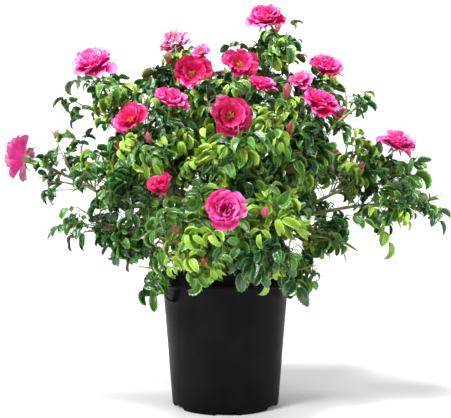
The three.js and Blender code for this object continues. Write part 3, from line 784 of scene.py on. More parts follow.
# %% Finishes for wood
old_wood = grainy(
    "old_wood_bark", (0.055, 0.035, 0.016), (0.2, 0.155, 0.075), 120, 0.75, bump=0.7, stretch=(1, 1, 0.25)
)
green_bark = grainy(
    "green_cane_bark", (0.12, 0.1, 0.032), (0.17, 0.27, 0.065), 42, 0.5, bump=0.25, stretch=(1, 1, 0.35)
)
twig_bark = grainy(
    "twig_bark", (0.15, 0.06, 0.025), (0.18, 0.28, 0.06), 14, 0.45, bump=0.15, stretch=(1, 1, 0.5)
)


HEART = (0, 0, 0.24)  # of the plant, where its stem stands


def young_from(finish, near, far, young):
    """Turns a finish towards a younger colour with the distance from the plant's heart."""
    nodes = finish.node_tree.nodes
    place = nodes["Texture Coordinate"].outputs["Object"]
    heart = add_node(finish, "VectorMath", {0: place, 1: HEART}, operation="DISTANCE")
    span = {"From Min": near, "From Max": far, "To Max": 0.85, "Value": heart.outputs["Value"]}
    share = add_node(finish, "MapRange", span).outputs["Result"]
    colours = {"Factor": share, "A": nodes["Color Ramp"].outputs["Color"], "B": (*young, 1)}
    mix = add_node(finish, "Mix", colours, data_type="RGBA")
    feed_surface(finish, Base_Color=mix.outputs["Result"])


young_from(old_wood, 0.1, 0.3, (0.15, 0.21, 0.055))
print("wood finishes:", old_wood.name, green_bark.name, twig_bark.name)

# %% The main stem
STEM_PROFILE = [(27, 0), (20, 5), (16, 12), (15, 20), (19, 30), (20, 40), (16, 49), (8, 54), (0, 56)]
stem_low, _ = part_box("main_stem")

stem = spun([(radius * MM, stem_low.z + height * MM) for radius, height in STEM_PROFILE], 40)
bmesh.ops.subdivide_edges(stem, edges=stem.edges, cuts=2, use_grid_fill=True, smooth=1.0)
for vertex in stem.verts:
    flat = Vector((vertex.co.x, vertex.co.y, 0))
    if flat.length > 1e-4 and vertex.co.z > stem_low.z + 1e-4:
        lump = noise.noise(vertex.co * 55) * 0.12
        furrow = noise.noise(Vector((vertex.co.x * 420, vertex.co.y * 420, vertex.co.z * 70))) * 0.06
        vertex.co += flat * (lump + furrow)
finish_piece("stem_head", as_mesh(stem, "stem_head"), [old_wood], ["main_stem"])

# %% The canes and forks
LIMB_SIDES = 10
RING_STEP = 5.0
JOINT_SPACING = 27.0


def ring_frame(ring, radius):
    """The place, turn and size of a unit circle that makes one ring of a limb, in metres."""
    centre, along, side, over = ring
    turn = Matrix((side, over, along)).transposed().to_4x4()
    size = Matrix.Diagonal((radius * MM, radius * MM, radius * MM, 1))
    return Matrix.Translation(centre * MM) @ turn @ size


def extrude_limb(bm, limb):
    """One limb from its foot to its tip, ring by ring, and then the relief of its bark."""
    length = limb.curve.length()
    steps = int(length / RING_STEP)
    rings = rings_along([limb.curve.at(i / steps) for i in range(steps + 1)])
    slim = [min(1, 0.3 + (steps - i) * RING_STEP / 20) for i in range(steps + 1)]
    frames = [ring_frame(ring, limb.radius_at(i / steps) * slim[i]) for i, ring in enumerate(rings)]
    made = bmesh.ops.create_circle(bm, cap_ends=False, radius=1, segments=LIMB_SIDES, matrix=frames[0])
    verts = made["verts"]
    edges = list({e for v in verts for e in v.link_edges})
    first = edges
    placed = [(v, 0) for v in verts]
    for i in range(1, steps + 1):
        grown = bmesh.ops.extrude_edge_only(bm, edges=edges)["geom"]
        verts = [item for item in grown if isinstance(item, bmesh.types.BMVert)]
        tops = set(verts)
        edges = [e for v in verts for e in v.link_edges if e.other_vert(v) in tops]
        edges = list(set(edges))
        bmesh.ops.transform(bm, matrix=frames[i] @ frames[i - 1].inverted(), verts=verts)
        placed += [(v, i) for v in verts]
    for loop in (first, edges):
        bmesh.ops.contextual_create(bm, geom=loop)
    for vertex, i in placed:
        centre = rings[i][0] * MM
        mile = length * i / steps
        joint = math.exp(-(((mile % JOINT_SPACING) - JOINT_SPACING / 2) ** 2) / 9)
        spot = vertex.co * 300
        swell = 1 + 0.16 * joint + 0.09 * noise.noise(spot) + 0.07 * noise.noise(vertex.co * 900)
        vertex.co = centre + (vertex.co - centre) * swell


for kind, names, finish, slot in (
    ("cane", list(CANES), old_wood, "old_wood"),
    ("fork", list(FORKS), green_bark, "green_cane"),
):
    joined = bmesh.new()
    for name in names:
        wood = bmesh.new()
        extrude_limb(wood, limbs[name])
        bmesh.ops.recalc_face_normals(wood, faces=wood.faces)
        part = as_mesh(wood, "part")
        joined.from_mesh(part)
        bpy.data.meshes.remove(part)
    nodes = [f"{kind}_{name}" for name in names]
    finish_piece(f"{kind}s", as_mesh(joined, f"{kind}s"), [finish], nodes)

# %% [markdown]
# ## Prickles
#
# Rose prickles grow from the skin of a cane, broad at the foot and hooked downward. Each is a
# small cone with one bend, set at a joint or between two, turned on round the cane.

# %% Prickles on canes and forks
PRICKLE_SPACING = 13
PRICKLE_STREAM = 700
prickle_finish = grainy("prickle", (0.2, 0.05, 0.03), (0.32, 0.14, 0.06), 200, 0.4, bump=0.1)
prickles = Heap()
for limb in all_limbs:
    run = limb.curve.length() * limb.entry
    for i in range(int(run / PRICKLE_SPACING)):
        draw = chance(limb.seed, PRICKLE_STREAM, i)
        t = limb.entry * (i + draw()) / (run / PRICKLE_SPACING)
        if t < 0.04:
            continue
        along = limb.curve.along(t)
        out = away_from(along, 90, 360 * draw())
        foot = limb.curve.at(t) + out * (limb.radius_at(t) - 0.8)
        long = 4.2 + 2.2 * draw()
        points = [foot, foot + out * 0.5 * long, foot + out * long - along * 0.35 * long]
        prickles.add(*thin_tube(points, [1.7, 0.8, 0.12], 4))
finish_piece("prickles", prickles.mesh("prickles"), [prickle_finish])

# %% [markdown]
# ## Blooms take their places first
#
# A leaf that grew through a bloom would spoil both, so the blooms are placed before any twig.
# The table says which mass a bloom grows in, where its middle is, which way it faces, how wide
# it is and how far it has opened. The larger ones are in the solids too. The last two are small
# faded ones that only grow here, and so do the buds. Some stray sprays of small leaves end just
# outside the outline of a mass or in a thin spot of it, and they are placed the same way.

# %% The blooms and the buds
# mass, middle, heading, pitch, width, form
BLOOMS = [
    ("left_high", (-252, -20, 643), 250, 46, 82, "pale"),
    ("top_left", (-104, 50, 706), 250, 34, 69, "blush"),
    ("top_left", (-62, -56, 611), 264, -2, 70, "open"),
    ("top_middle", (26, -46, 631), 274, 6, 66, "open"),
    ("top_middle", (64, -66, 586), 290, 64, 64, "bowl"),
    ("top", (76, 0, 737), 262, 42, 74, "double"),
    ("left_middle", (-164, -128, 511), 240, 26, 68, "open"),
    ("left_middle", (-91, -124, 544), 292, 52, 66, "bowl"),
    ("front_middle", (8, -160, 508), 278, -8, 70, "open"),
    ("right_high", (196, 16, 646), 280, 38, 70, "double"),
    ("right_middle", (164, -112, 545), 288, 50, 72, "double"),
    ("right_reach", (329, 0, 498), 296, 56, 72, "pale"),
    ("left_reach", (-386, -30, 461), 174, 8, 82, "loose"),
    ("front_middle", (-98, -206, 384), 250, 40, 52, "half"),
    ("front_low_right", (-2, -262, 349), 268, 8, 64, "full"),
    ("back_left", (-222, 204, 516), 130, 46, 72, "double"),
    ("back_left", (-150, 226, 430), 116, 30, 66, "open"),
    ("back_top", (-14, 158, 652), 92, 54, 72, "double"),
    ("back_top", (40, 214, 584), 84, 34, 68, "open"),
    ("back_right", (230, 196, 502), 42, 46, 72, "open"),
    ("right_high", (166, 84, 606), 50, 46, 56, "double"),
    ("back_low", (10, 290, 350), 88, 30, 66, "open"),
    ("back_low_left", (-222, 196, 318), 140, 26, 60, "double"),
    ("back_low_right", (236, 176, 320), 36, 26, 60, "open"),
    ("top_left", (-46, -34, 655), 262, 26, 38, "faded"),
    ("right_high", (140, -34, 603), 250, 28, 46, "faded"),
]
# mass, foot of the bud, heading, pitch, length
BUDS = [
    ("left_middle", (-178, -122, 456), 240, 60, 19),
    ("right_middle", (108, -134, 482), 270, 56, 22),
    ("right_middle", (107, -92, 556), 270, 66, 24),
    ("top_left", (-103, -30, 634), 230, 66, 22),
    ("right_middle", (198, -92, 520), 300, 50, 20),
    ("front_low_right", (58, -232, 340), 280, 40, 18),
    ("front_low_left", (-72, -228, 314), 250, 40, 16),
    ("right_reach", (251, -30, 438), 290, 60, 16),
    ("left_middle", (-126, -142, 468), 250, 54, 17),
    ("left_reach", (-313, -28, 494), 150, 80, 18),
    ("front_low_left", (-31, -236, 268), 260, 20, 17),
    ("top", (97, -10, 700), 300, 70, 16),
    ("back_left", (-196, 214, 476), 110, 60, 20),
    ("back_top", (8, 190, 640), 80, 66, 22),
    ("back_right", (200, 220, 470), 60, 60, 20),
    ("back_low", (-30, 282, 366), 100, 50, 18),
    ("back_low_right", (206, 214, 330), 60, 40, 16),
]
STALK_RADIUS = 1.4
BLOOM_DEPTH = 0.3


def stalk_to(limb, hip, facing):
    """A stalk that leaves the stem below a bloom and comes up into its hip."""
    spots = [limb.entry + i * 0.01 for i in range(int((1 - limb.entry) / 0.01) + 1)]
    best = min(spots, key=lambda t: (limb.curve.at(t) - hip).length)
    root = limb.curve.at(max(limb.entry + 0.04, best - 0.22))
    return Curve(root, hip - facing * 0.3 * (root - hip).length, hip)


blooms = []
for mass, at, heading, pitch, width, form in BLOOMS:
    facing = direction(heading, pitch)
    hip = Vector(at) - facing * (BLOOM_DEPTH - 0.06) * width
    blooms.append(
        {
            "mass": mass,
            "middle": Vector(at),
            "facing": facing,
            "width": width,
            "form": form,
            "stalk": stalk_to(limbs[mass], hip, facing),
        }
    )
buds = []
for mass, at, heading, pitch, long in BUDS:
    facing = direction(heading, pitch)
    foot = Vector(at)
    stalk = stalk_to(limbs[mass], foot, facing)
    buds.append({"mass": mass, "foot": foot, "facing": facing, "long": long, "stalk": stalk})
print(len(blooms), "blooms and", len(buds), "buds have their places")

# %% Stray sprays
# for each mass, where the shoots end
SPRAYS = {
    "left_high": [
        (-288, -22, 570), (-262, -26, 606), (-222, -14, 604), (-200, -20, 600),
    ],
    "left_low": [
        (-258, -62, 338), (-286, -60, 338), (-268, -56, 366), (-186, -70, 314), (-204, -60, 304),
    ],
    "left_inner": [
        (-230, -88, 404), (-238, -80, 424), (-176, -84, 320), (-158, -88, 332),
    ],
    "left_middle": [
        (-214, -90, 458), (-138, -84, 554), (-146, -70, 568), (-99, -116, 391), (-78, -120, 366),
    ],
    "top_left": [(-142, -30, 582), (-146, 34, 630)],
    "left_reach": [(-226, -30, 478), (-330, -34, 414), (-266, -28, 486)],
    "top": [(118, 0, 708), (124, 4, 650)],
    "top_middle": [(22, -30, 670)],
    "right_high": [(254, 8, 584), (186, 8, 614), (126, -20, 588)],
    "right_middle": [(118, -60, 560), (130, -70, 538)],
    "right_reach": [
        (232, -4, 526), (262, 0, 494), (241, -6, 478), (278, 4, 462), (352, 4, 446),
        (338, -10, 450), (318, 6, 460),
    ],
    "right_out": [(372, -30, 368)],
    "back_left": [(-236, 206, 560)],
    "back_right": [(236, 196, 556)],
    "back_top": [(-40, 206, 640)],
}
for mass, ends in SPRAYS.items():
    limb = limbs[mass]
    for end in ends:
        way = (Vector(end) - limb.centre_point).normalized()
        limb.sprays.append(stalk_to(limb, Vector(end), (way + UP * 0.4).normalized()))
print(sum(len(ends) for ends in SPRAYS.values()), "stray sprays")

# %% [markdown]
# ## What shoots keep clear of
#
# Limbs, stalks and blooms are rows of balls, so that one distance to each tells whether a place
# is free. Leaves also leave room in front of a bloom or a bud, as a bush lifts its flowers out of
# the foliage. Between some masses the crown is open from front to back, and the sky shows there in
# round windows, so these places are kept free as well.

# %% Rows of balls
balls = []  # x, y, z, radius, owner, and 1 for what the solids leave to this lesson


def add_balls(owner, curve, start, end, radius, extra=0):
    """Balls every few millimetres along part of a curve."""
    steps = math.ceil(curve.length() / 5)
    for i in range(steps + 1):
        balls.append((*curve.at(start + (end - start) * i / steps), radius, owner, extra))


# share of a width ahead of the bloom, radius as a share of its width, and as above
BLOOM_BALLS = ((0, 0.5, 0), (-0.14, 0.36, 0), (0.3, 0.46, 1), (0.7, 0.44, 1), (1.1, 0.4, 1), (1.5, 0.36, 1))
NOBODY = -1
SOLID_BLOOMS = 24  # the first so many in the table
for index, limb in enumerate(all_limbs):
    limb.index = index
    add_balls(NOBODY, limb.curve, 0, limb.entry, limb.radius)
    add_balls(index, limb.curve, limb.entry, 1, TIP_RADIUS)
for number, bloom in enumerate(blooms):
    extra = int(number >= SOLID_BLOOMS)
    add_balls(limbs[bloom["mass"]].index, bloom["stalk"], 0, 1, STALK_RADIUS, extra)
    for ahead, size, is_extra in BLOOM_BALLS:
        spot = bloom["middle"] + bloom["facing"] * ahead * bloom["width"]
        balls.append((*spot, size * bloom["width"], NOBODY, max(extra, is_extra)))
BUD_BALLS = (0, 14, 28, 42)  # towards the front of the plant
for bud in buds:
    for ahead in BUD_BALLS:
        spot = bud["foot"] + bud["facing"] * bud["long"] / 2 - Vector((0, ahead, 0))
        balls.append((*spot, 0.6 * bud["long"], NOBODY, 1))
balls = np.array(balls)
POT_CLEAR = (LIP_RADIUS / MM + 2, POT_HEIGHT / MM + 2)
VIEWPOINT = np.array((0, -CAMERA_DISTANCE / MM, CAMERA_HEIGHT / MM))
# across, height and radius, each in the plane of the stem
SKY_WINDOWS = np.array(
    [
        (-374, 406, 24), (-348, 480, 15), (-322, 442, 9), (-312, 460, 8), (-312, 479, 9),
        (-304, 418, 11), (-300, 392, 15), (-278, 378, 14), (-272, 578, 12), (-266, 304, 8),
        (-262, 411, 10), (-236, 252, 12), (-229, 593, 10), (-228, 276, 10), (-225, 508, 15),
        (-163, 632, 11), (-146, 168, 18), (-134, 305, 12), (-112, 289, 12), (-104, 264, 9),
        (-86, 372, 5), (-20, 638, 13), (46, 694, 12), (92, 640, 6), (128, 196, 8), (131, 300, 19),
        (142, 184, 12), (187, 266, 14), (193, 399, 22), (212, 500, 14), (215, 268, 12),
        (241, 546, 9), (250, 298, 9), (265, 268, 12), (296, 286, 10), (310, 302, 10),
        (366, 312, 31), (392, 437, 10),
    ]
)


def is_clear(points, owner, room, extra=False):
    """Which points keep so much room from all balls but their own mass's, and from the pot."""
    points = np.atleast_2d(points)
    others = balls[(balls[:, 4] != owner) & (balls[:, 5] <= extra)]
    gaps = np.linalg.norm(points[:, None] - others[None, :, :3], axis=2) - others[:, 3]
    off_pot = (points[:, 2] > POT_CLEAR[1]) | (np.hypot(points[:, 0], points[:, 1]) > POT_CLEAR[0])
    return (gaps.min(axis=1) > room) & off_pot


def in_window(points):
    """Which points stand in one of the windows of sky, which run from front to back."""
    rays = np.atleast_2d(points) - VIEWPOINT
    seen = VIEWPOINT + rays * (-VIEWPOINT[1] / rays[:, 1])[:, None]
    gaps = np.hypot(seen[:, None, 0] - SKY_WINDOWS[:, 0], seen[:, None, 2] - SKY_WINDOWS[:, 1])
    return (gaps < SKY_WINDOWS[:, 2]).any(axis=1)


print("balls to keep clear of:", len(balls), "and windows of sky:", len(SKY_WINDOWS))

# %% [markdown]
# ## Twigs, and finer twigs on them
#
# Twigs turn on round their stem by the rose's own spiral, two fifths of a turn from bud to bud,
# and reach for the edge of their mass's space. This is the rule that shaped the solids, with
# the same chances. On a real bush each twig branches once more, so here it is carried one step
# further: side shoots leave every twig by a stream of chance of their own.

# %% Growing the twigs
SPIRAL = 144
TWIG_SPACING = 30
TWIG_ANGLE = 52
TWIG_FILL = 0.66
TWIG_LONGEST = 110
TWIG_SHORTEST = 18
TWIG_STREAM = 999
TURNS = (0, 72, -72, 144)
SIDE_SHOOTS = (0.26, 0.44, 0.62, 0.8)  # places along a twig
SIDE_LONGEST = 46
SIDE_SHORTEST = 12
# shoots are numbered in bands: twigs come first, and then these
SIDE_BAND = 100
STALK_BAND = 300
SPRAY_BAND = 400


class Shoot:
    """A twig or a stalk that bears leaves, from a start along its curve up to its tip."""

    def __init__(self, curve, length, start, index):
        self.curve, self.length, self.start, self.index = curve, length, start, index
        self.is_leafy = False


def room_ahead(limb, start, heading):
    """How far it is along a heading to the edge of the limb's space."""
    reach = np.arange(4, limb.long + 4, 4)
    inside = is_inside(limb, np.array(start) + reach[:, None] * np.array(heading))
    return 4.0 * (len(reach) if inside.all() else inside.argmin())


def grow_twig(limb, index, count):
    """A twig of the mass's stem, tried in a few turns and left out if none is clear."""
    draw = chance(limb.seed, index, TWIG_STREAM)
    turn_by, length_by, angle_by = draw(), draw(), draw()
    t = limb.entry + (1 - limb.entry) * (0.06 + 0.86 * (index - 1) / count)
    root = limb.curve.at(t)
    for turn_on in TURNS:
        turn = index * SPIRAL + 60 * turn_by + turn_on
        heading = away_from(limb.curve.along(t), TWIG_ANGLE + 14 * angle_by, turn)
        room = room_ahead(limb, root, heading) * TWIG_FILL
        length = min(TWIG_LONGEST, max(TWIG_SHORTEST, room * (0.8 + 0.2 * length_by)))
        end = root + heading * length + UP * 0.08 * length
        probes = np.array([root.lerp(end, part) for part in (0.3, 0.45, 0.6, 0.75, 0.9, 1)])
        if is_inside(limb, probes).all() and is_clear(probes, limb.index, 3).all():
            return Shoot(Curve(root, end), length, 0.16, index)
    return None


def grow_side_shoot(limb, twig, part, number):
    """A finer shoot on a twig."""
    draw = chance(limb.seed, SIDE_BAND + twig.index, number)
    root = twig.curve.at(part)
    turn = number * SPIRAL + 360 * draw()
    heading = away_from(twig.curve.along(part), 44 + 20 * draw(), turn)
    length = min(SIDE_LONGEST, 0.8 * room_ahead(limb, root, heading)) * (0.7 + 0.3 * draw())
    if length < SIDE_SHORTEST:
        return None
    end = root + heading * length + UP * 0.12 * length
    probes = np.array([root.lerp(end, part) for part in (0.5, 0.8, 1)])
    if not (is_inside(limb, probes, overlap=8).all() and is_clear(probes, limb.index, 2).all()):
        return None
    curve = Curve(root, root.lerp(end, 0.5) - UP * 0.06 * length, end)
    return Shoot(curve, length, 0.3, SIDE_BAND + 10 * twig.index + number)


for limb in all_limbs:
    run = (limb.curve.at(limb.entry) - limb.tip).length
    count = max(2, round(run / TWIG_SPACING))
    limb.shoots = [Shoot(limb.curve, 0.8 * run, limb.entry, 0)]
    for index in range(1, count + 1):
        twig = grow_twig(limb, index, count)
        if twig is None:
            continue
        limb.shoots.append(twig)
        side_shoots = [grow_side_shoot(limb, twig, part, i) for i, part in enumerate(SIDE_SHOOTS)]
        limb.shoots += [shoot for shoot in side_shoots if shoot]
print("shoots:", sum(len(limb.shoots) for limb in all_limbs))

# %% [markdown]
# ## One leaflet
#
# A rose leaf is made of five or seven leaflets on one stalk. A leaflet is oval with a point, and
# its edge is toothed like a fine saw. There will be thousands, so it has a few dozen faces: two
# rows from the midrib to the edge, with a tooth to each step. Its shape is kept as numbers
# that fold it along the midrib, curl it under from root to tip, and give it a slight twist.

# %% The leaflet's shape
LEAF_TEETH = 7
LEAFLET_WIDE = 0.5  # of its length


def half_width(y):
    """The half width of a leaflet of length 1, from the root to the point."""
    return 0.5 * LEAFLET_WIDE * y**0.62 * (1 - y) ** 0.9 / 0.357


def leaflet_template():
    """Vertices (across, along, edge) and triangles of a flat leaflet."""
    rows = [i / LEAF_TEETH for i in range(LEAF_TEETH + 1)]
    vertices = [(0.0, y, 0.0) for y in rows]
    faces = []
    for side in (-1, 1):
        first = len(vertices)
        vertices += [(side * half_width(y), y, 1.0) for y in rows[1:-1]]
        teeth = len(vertices)
        vertices += [
            (side * (half_width(0.5 * (a + b)) * 1.02 + 0.022), 0.35 * a + 0.65 * b + 0.01, 1.0)
            for a, b in zip(rows, rows[1:-1])
        ]
        for i in range(LEAF_TEETH):
            rib, rib_next = i, i + 1
            edge = first + i - 1 if i else rib
            edge_next = first + i if i < LEAF_TEETH - 1 else rib_next
            made = [(rib, rib_next, edge_next)] if edge_next != rib_next else []
            made += [(rib, edge_next, edge)] if edge != rib else []
            made += [(edge, edge_next, teeth + i)] if i < LEAF_TEETH - 1 else []
            faces += made if side > 0 else [face[::-1] for face in made]
    return np.array(vertices), np.array(faces)


leaf_shape, leaf_faces = leaflet_template()
edge_side = np.sign(leaf_shape[:, 0]) * leaf_shape[:, 2]
LEAF_MAP = np.column_stack((0.5 + 0.5 * edge_side, leaf_shape[:, 1]))


def bent_leaflet(root, along, normal, length, slim, fold, curl, twist):
    """A leaflet in its place: folded up along its midrib, curled under to its tip, and twisted."""
    across = along.cross(normal)
    x, y = leaf_shape[:, 0] * slim, leaf_shape[:, 1]
    bend, turn = curl * y, twist * y
    lift = fold * np.abs(x) - 0.9 * x**2
    side = x * np.cos(turn) - lift * np.sin(turn)
    over = x * np.sin(turn) + lift * np.cos(turn)
    far = np.sin(bend) / curl + over * np.sin(bend)
    high = (np.cos(bend) - 1) / curl + over * np.cos(bend)
    bent = np.outer(side, across) + np.outer(far, along) + np.outer(high, normal)
    return np.array(root) + length * bent


print("a leaflet has", len(leaf_faces), "triangles")

# %% [markdown]
# ## Finishes for leaves
#
# Old leaves are dark and glossy, and this season's are a bright yellow green. A real crown holds
# all steps between, with whole sprays of one age. So each leaf takes one of four plain finishes,
# dealt out by spray, and each finish varies a little inside itself. A fine line along the
# midrib and faint side veins come from the leaflet's own flat map, and so does a paler rim that
# is partly the leaf's own margin and partly a painted highlight along the edge.


# %% A leaf finish
def leaf_finish(name, dark, light, pale_rib_and_rim_highlight, roughness, specular):
    """A grainy leaf with a paler midrib, a partly painted highlight on its rim, and vein relief."""
    finish = grainy(name, dark, light, 34, roughness, bump=0.12, specular=specular)
    nodes = finish.node_tree.nodes
    flat = add_node(finish, "UVMap", uv_map="flat_map").outputs["UV"]
    parts = add_node(finish, "SeparateXYZ", {"Vector": flat})
    far = parts.outputs["X"]
    for operation in ("SUBTRACT", "ABSOLUTE"):
        far = add_node(finish, "Math", {0: far, 1: 0.5}, operation=operation).outputs["Value"]
    rib_span = {"From Min": 0, "From Max": 0.06, "To Min": 0.5, "To Max": 0, "Value": far}
    # the rim is paler partly from the leaf's own margin and partly from a painted highlight along the edge
    rim_highlight_span = {"From Min": 0.36, "From Max": 0.5, "To Max": 0.6, "Value": far}
    rib, rim = [add_node(finish, "MapRange", span).outputs["Result"] for span in (rib_span, rim_highlight_span)]
    lines = add_node(finish, "Math", {0: rib, 1: rim}, operation="ADD").outputs["Value"]
    colours = {"Factor": lines, "A": nodes["Color Ramp"].outputs["Color"], "B": (*pale_rib_and_rim_highlight, 1)}
    pale = add_node(finish, "Mix", colours, data_type="RGBA")
    slanted = {0: far, 1: -0.9, 2: parts.outputs["Y"]}
    slant = add_node(finish, "Math", slanted, operation="MULTIPLY_ADD").outputs["Value"]
    veins = add_node(finish, "Math", {0: slant, 1: 0.07}, operation="PINGPONG").outputs["Value"]
    ridges = {"Strength": 0.6, "Distance": 0.006, "Height": veins, "Normal": nodes["Bump"].outputs["Normal"]}
    relief = add_node(finish, "Bump", ridges)
    feed_surface(finish, Base_Color=pale.outputs["Result"], Normal=relief.outputs["Normal"])
    return finish


# the third colour paints the midrib and the rim, and on the rim it is partly a painted highlight
LEAF_FINISHES = [
    leaf_finish("leaf_old", (0.004, 0.034, 0.006), (0.023, 0.118, 0.018), (0.15, 0.33, 0.1), 0.2, 0.62),
    leaf_finish("leaf_grown", (0.014, 0.078, 0.008), (0.075, 0.23, 0.02), (0.3, 0.52, 0.12), 0.26, 0.5),
    leaf_finish("leaf_fresh", (0.1, 0.23, 0.01), (0.27, 0.47, 0.025), (0.6, 0.8, 0.16), 0.36, 0.4),
    leaf_finish("leaf_flushed", (0.05, 0.05, 0.01), (0.085, 0.13, 0.024), (0.26, 0.17, 0.06), 0.34, 0.4),
]
OLD, GROWN, FRESH, FLUSHED = range(4)
print("leaf finishes:", [finish.name for finish in LEAF_FINISHES])

# %% [markdown]
# ## Leaves on every shoot
#
# From the tip of each shoot downwards a leaf sits every couple of centimetres, turned on by
# the spiral. It leans out from its shoot, hangs a little, and turns its face up and away
# from the heart of the crown, where the light is. The leaves that give the crown its outline
# follow the rule of the solids to the letter: each is tried in a few turns and sizes, and kept
# where its outline stays in the mass's space, off limbs and blooms, and off the leaves before
# it. Finer shoots then carry smaller leaves. Round the rim of the crown they stay within a
# finger's breadth of the first ones, which leaves the sky open between the masses. In the middle
# and at the back they may sit a few centimetres off, which closes the crown.

# %% One compound leaf
GROUPS = {
    "left": ("left_high", "left_low", "left_middle", "left_reach", "left_inner", "left_rim"),
    "front": ("front_middle", "front_low_left", "front_low_right"),
    "top": ("top", "top_left", "top_middle", "back_top", "right_high", "right_shoulder"),
    "right": ("right_middle", "right_reach", "right_rim", "right_low", "right_out"),
    "back": ("back_right", "back_left", "back_low_left", "back_low", "back_low_right"),
}
LEAF_SPACING = 24
LEAF_ANGLE = 58
TIP_LEAF_ANGLE = 16
LEAF_LENGTH = 60
LEAF_WIDTH = 42
LEAF_TRIES = (1.3, 1.05, 0.88)
LEAF_APART = 8
LEAF_ROOM = 4
LEAF_OUTLINE = ((0.4, 0), (0.7, 0), (1, 0), (0.3, 0.3), (0.3, -0.3), (0.5, 0.5), (0.5, -0.5))
LEAF_OUTLINE += ((0.75, 0.25), (0.75, -0.25))
CROWN_HEART = Vector((0, 0, 330))
FILL_SPACING = 11
FILL_REACH = 13  # how near filling leaves stay to the outline's leaves and twigs
FULL_REACH = 45  # the same in the masses that close the middle and the back of the crown
FULL_MASSES = ("left_middle", "right_middle", "top_middle", "back_top", *GROUPS["front"], *GROUPS["back"])
FILL_TRIES = (1.05, 0.85, 0.68)
SPRAY_TRIES = (0.85, 0.7, 0.6)
SPRAY_LONGEST = 36
AGE_STREAM = 555
OWN_AGE_STREAM = 600
LEAFLET_STREAM = 2000
FILL_STREAM = 3000
FLUSH_HEIGHT = 420  # a lower limb has no leaves flushed with red
LEAFY_STALK = 50  # a shorter stalk bears no leaves
FILL_LENGTH = 52
FILL_APART = 5.5
FACE_SPREAD = 2.3  # how far leaflets of one leaf turn from one another
LEAFLET_SHARES = (0, 0.56, 0.49, 0.42)  # of a leaf's length, by its number of pairs


def leaf_bones(root, heading, normal, length, pairs, sag):
    """The leaf's own stalk, and root, direction and size of each leaflet."""
    across = heading.cross(normal)
    leaflet = LEAFLET_SHARES[pairs] * length
    rib_long = length - 0.9 * leaflet

    def rib(part):
        return root + heading * rib_long * part - UP * sag * rib_long * part**2

    bones = []
    tip_way = (rib(1) - rib(0.85)).normalized()
    bones.append((rib(1), tip_way, leaflet))
    for pair in range(pairs):
        part = 0.76 - pair * 0.66 / pairs
        way = (rib(part) - rib(part - 0.1)).normalized()
        size = leaflet * (0.94 - 0.12 * pair)
        for side in (-1, 1):
            out = (way * 0.42 + across * side * 0.88 - UP * 0.12).normalized()
            bones.append((rib(part), out, size))
    return [rib(i / 3) for i in range(4)], bones


def add_leaf(leaves, stalks, bones, rib, normal, draw, finish):
    """Puts a leaf's leaflets and its stalk on their heaps."""
    stalks.add(*thin_tube(rib, [0.9, 0.75, 0.65, 0.5], 3), finish=finish == FLUSHED)
    for root, way, size in bones:
        tilt = Vector((draw() - 0.5, draw() - 0.5, draw() - 0.5)) * FACE_SPREAD
        face = normal + UP * 0.6 + tilt
        face = (face - way * face.dot(way)).normalized()
        fold, curl, twist = 0.3 + 1.6 * draw(), 0.2 + 1.7 * draw() ** 1.4, 1.9 * (draw() - 0.5)
        slim = 0.82 + 0.3 * draw()
        if finish == FRESH:
            curl, slim = curl + 0.9, 0.78 * slim
        shape = bent_leaflet(root, way, face, size, slim, fold, curl, twist)
        leaves.add(shape, leaf_faces, LEAF_MAP, finish)


def age_of(limb, shoot, place):
    """Which finish a leaf takes: by spray, with fresh ones near the tips of shoots."""
    draw = chance(limb.seed, shoot.index, AGE_STREAM)
    spray = draw()
    own = chance(limb.seed, shoot.index, OWN_AGE_STREAM + place)()
    fresh = limb.fresh * (1.25 if place < 2 else 0.7)
    if spray < fresh * (0.5 + 0.6 * own):
        return FRESH
    if place < 2 and own > 0.88 and limb.tip.z > FLUSH_HEIGHT:
        return FLUSHED
    return GROWN if spray < 0.35 + 0.5 * fresh or own > 0.86 else OLD


print("a leaf of five has a stalk and", len(leaf_bones(UP, UP, Vector((1, 0, 0)), 80, 2, 0)[1]), "leaflets")


# %% Growing the leaves
def leaf_pose(limb, shoot, place, spacing, draw):
    """Root, heading and normal of a leaf for each turn, and its share of the size and its drop."""
    turn_by, size_by, drop_by, tilt_x, tilt_y = [draw() for _ in range(5)]
    reach = max(0, 1 - place * spacing / shoot.length)
    end = 1 - 1 / shoot.curve.length()
    t = shoot.start + (end - shoot.start) * reach
    root = shoot.curve.at(t)
    tangent = shoot.curve.along(t)
    tilt = Vector((0.8 * (tilt_x - 0.5), 0.8 * (tilt_y - 0.5), 0.35))
    poses = []
    for turn_on in TURNS:
        turn = place * SPIRAL + 50 * turn_by + turn_on
        heading = away_from(tangent, LEAF_ANGLE if place else TIP_LEAF_ANGLE, turn)
        heading = (heading - UP * (0.15 + 0.5 * drop_by)).normalized()
        face = (root - CROWN_HEART).normalized() + tilt
        poses.append((root, heading, (face - heading * face.dot(heading)).normalized()))
    return poses, 0.88 + 0.24 * size_by, drop_by


def outline_of(root, heading, normal, length):
    """Places along a leaf's middle and round its edge."""
    across = normal.cross(heading).normalized()
    wide = length * LEAF_WIDTH / LEAF_LENGTH
    return np.array([root + heading * a * length + across * b * wide for a, b in LEAF_OUTLINE])


def near_any(points, taken, gap):
    """Whether any of the points is nearer than the gap to a place that is taken."""
    if not len(taken):
        return False
    return (np.linalg.norm(points[:, None] - taken[None], axis=2) <= gap).any()


def is_far(limb, points, anchors):
    """Which of the points lie farther from the outline's leaves than filling leaves may."""
    gaps = np.linalg.norm(points[:, None] - anchors[None], axis=2).min(axis=1)
    return gaps > (FULL_REACH if limb.name in FULL_MASSES else FILL_REACH)


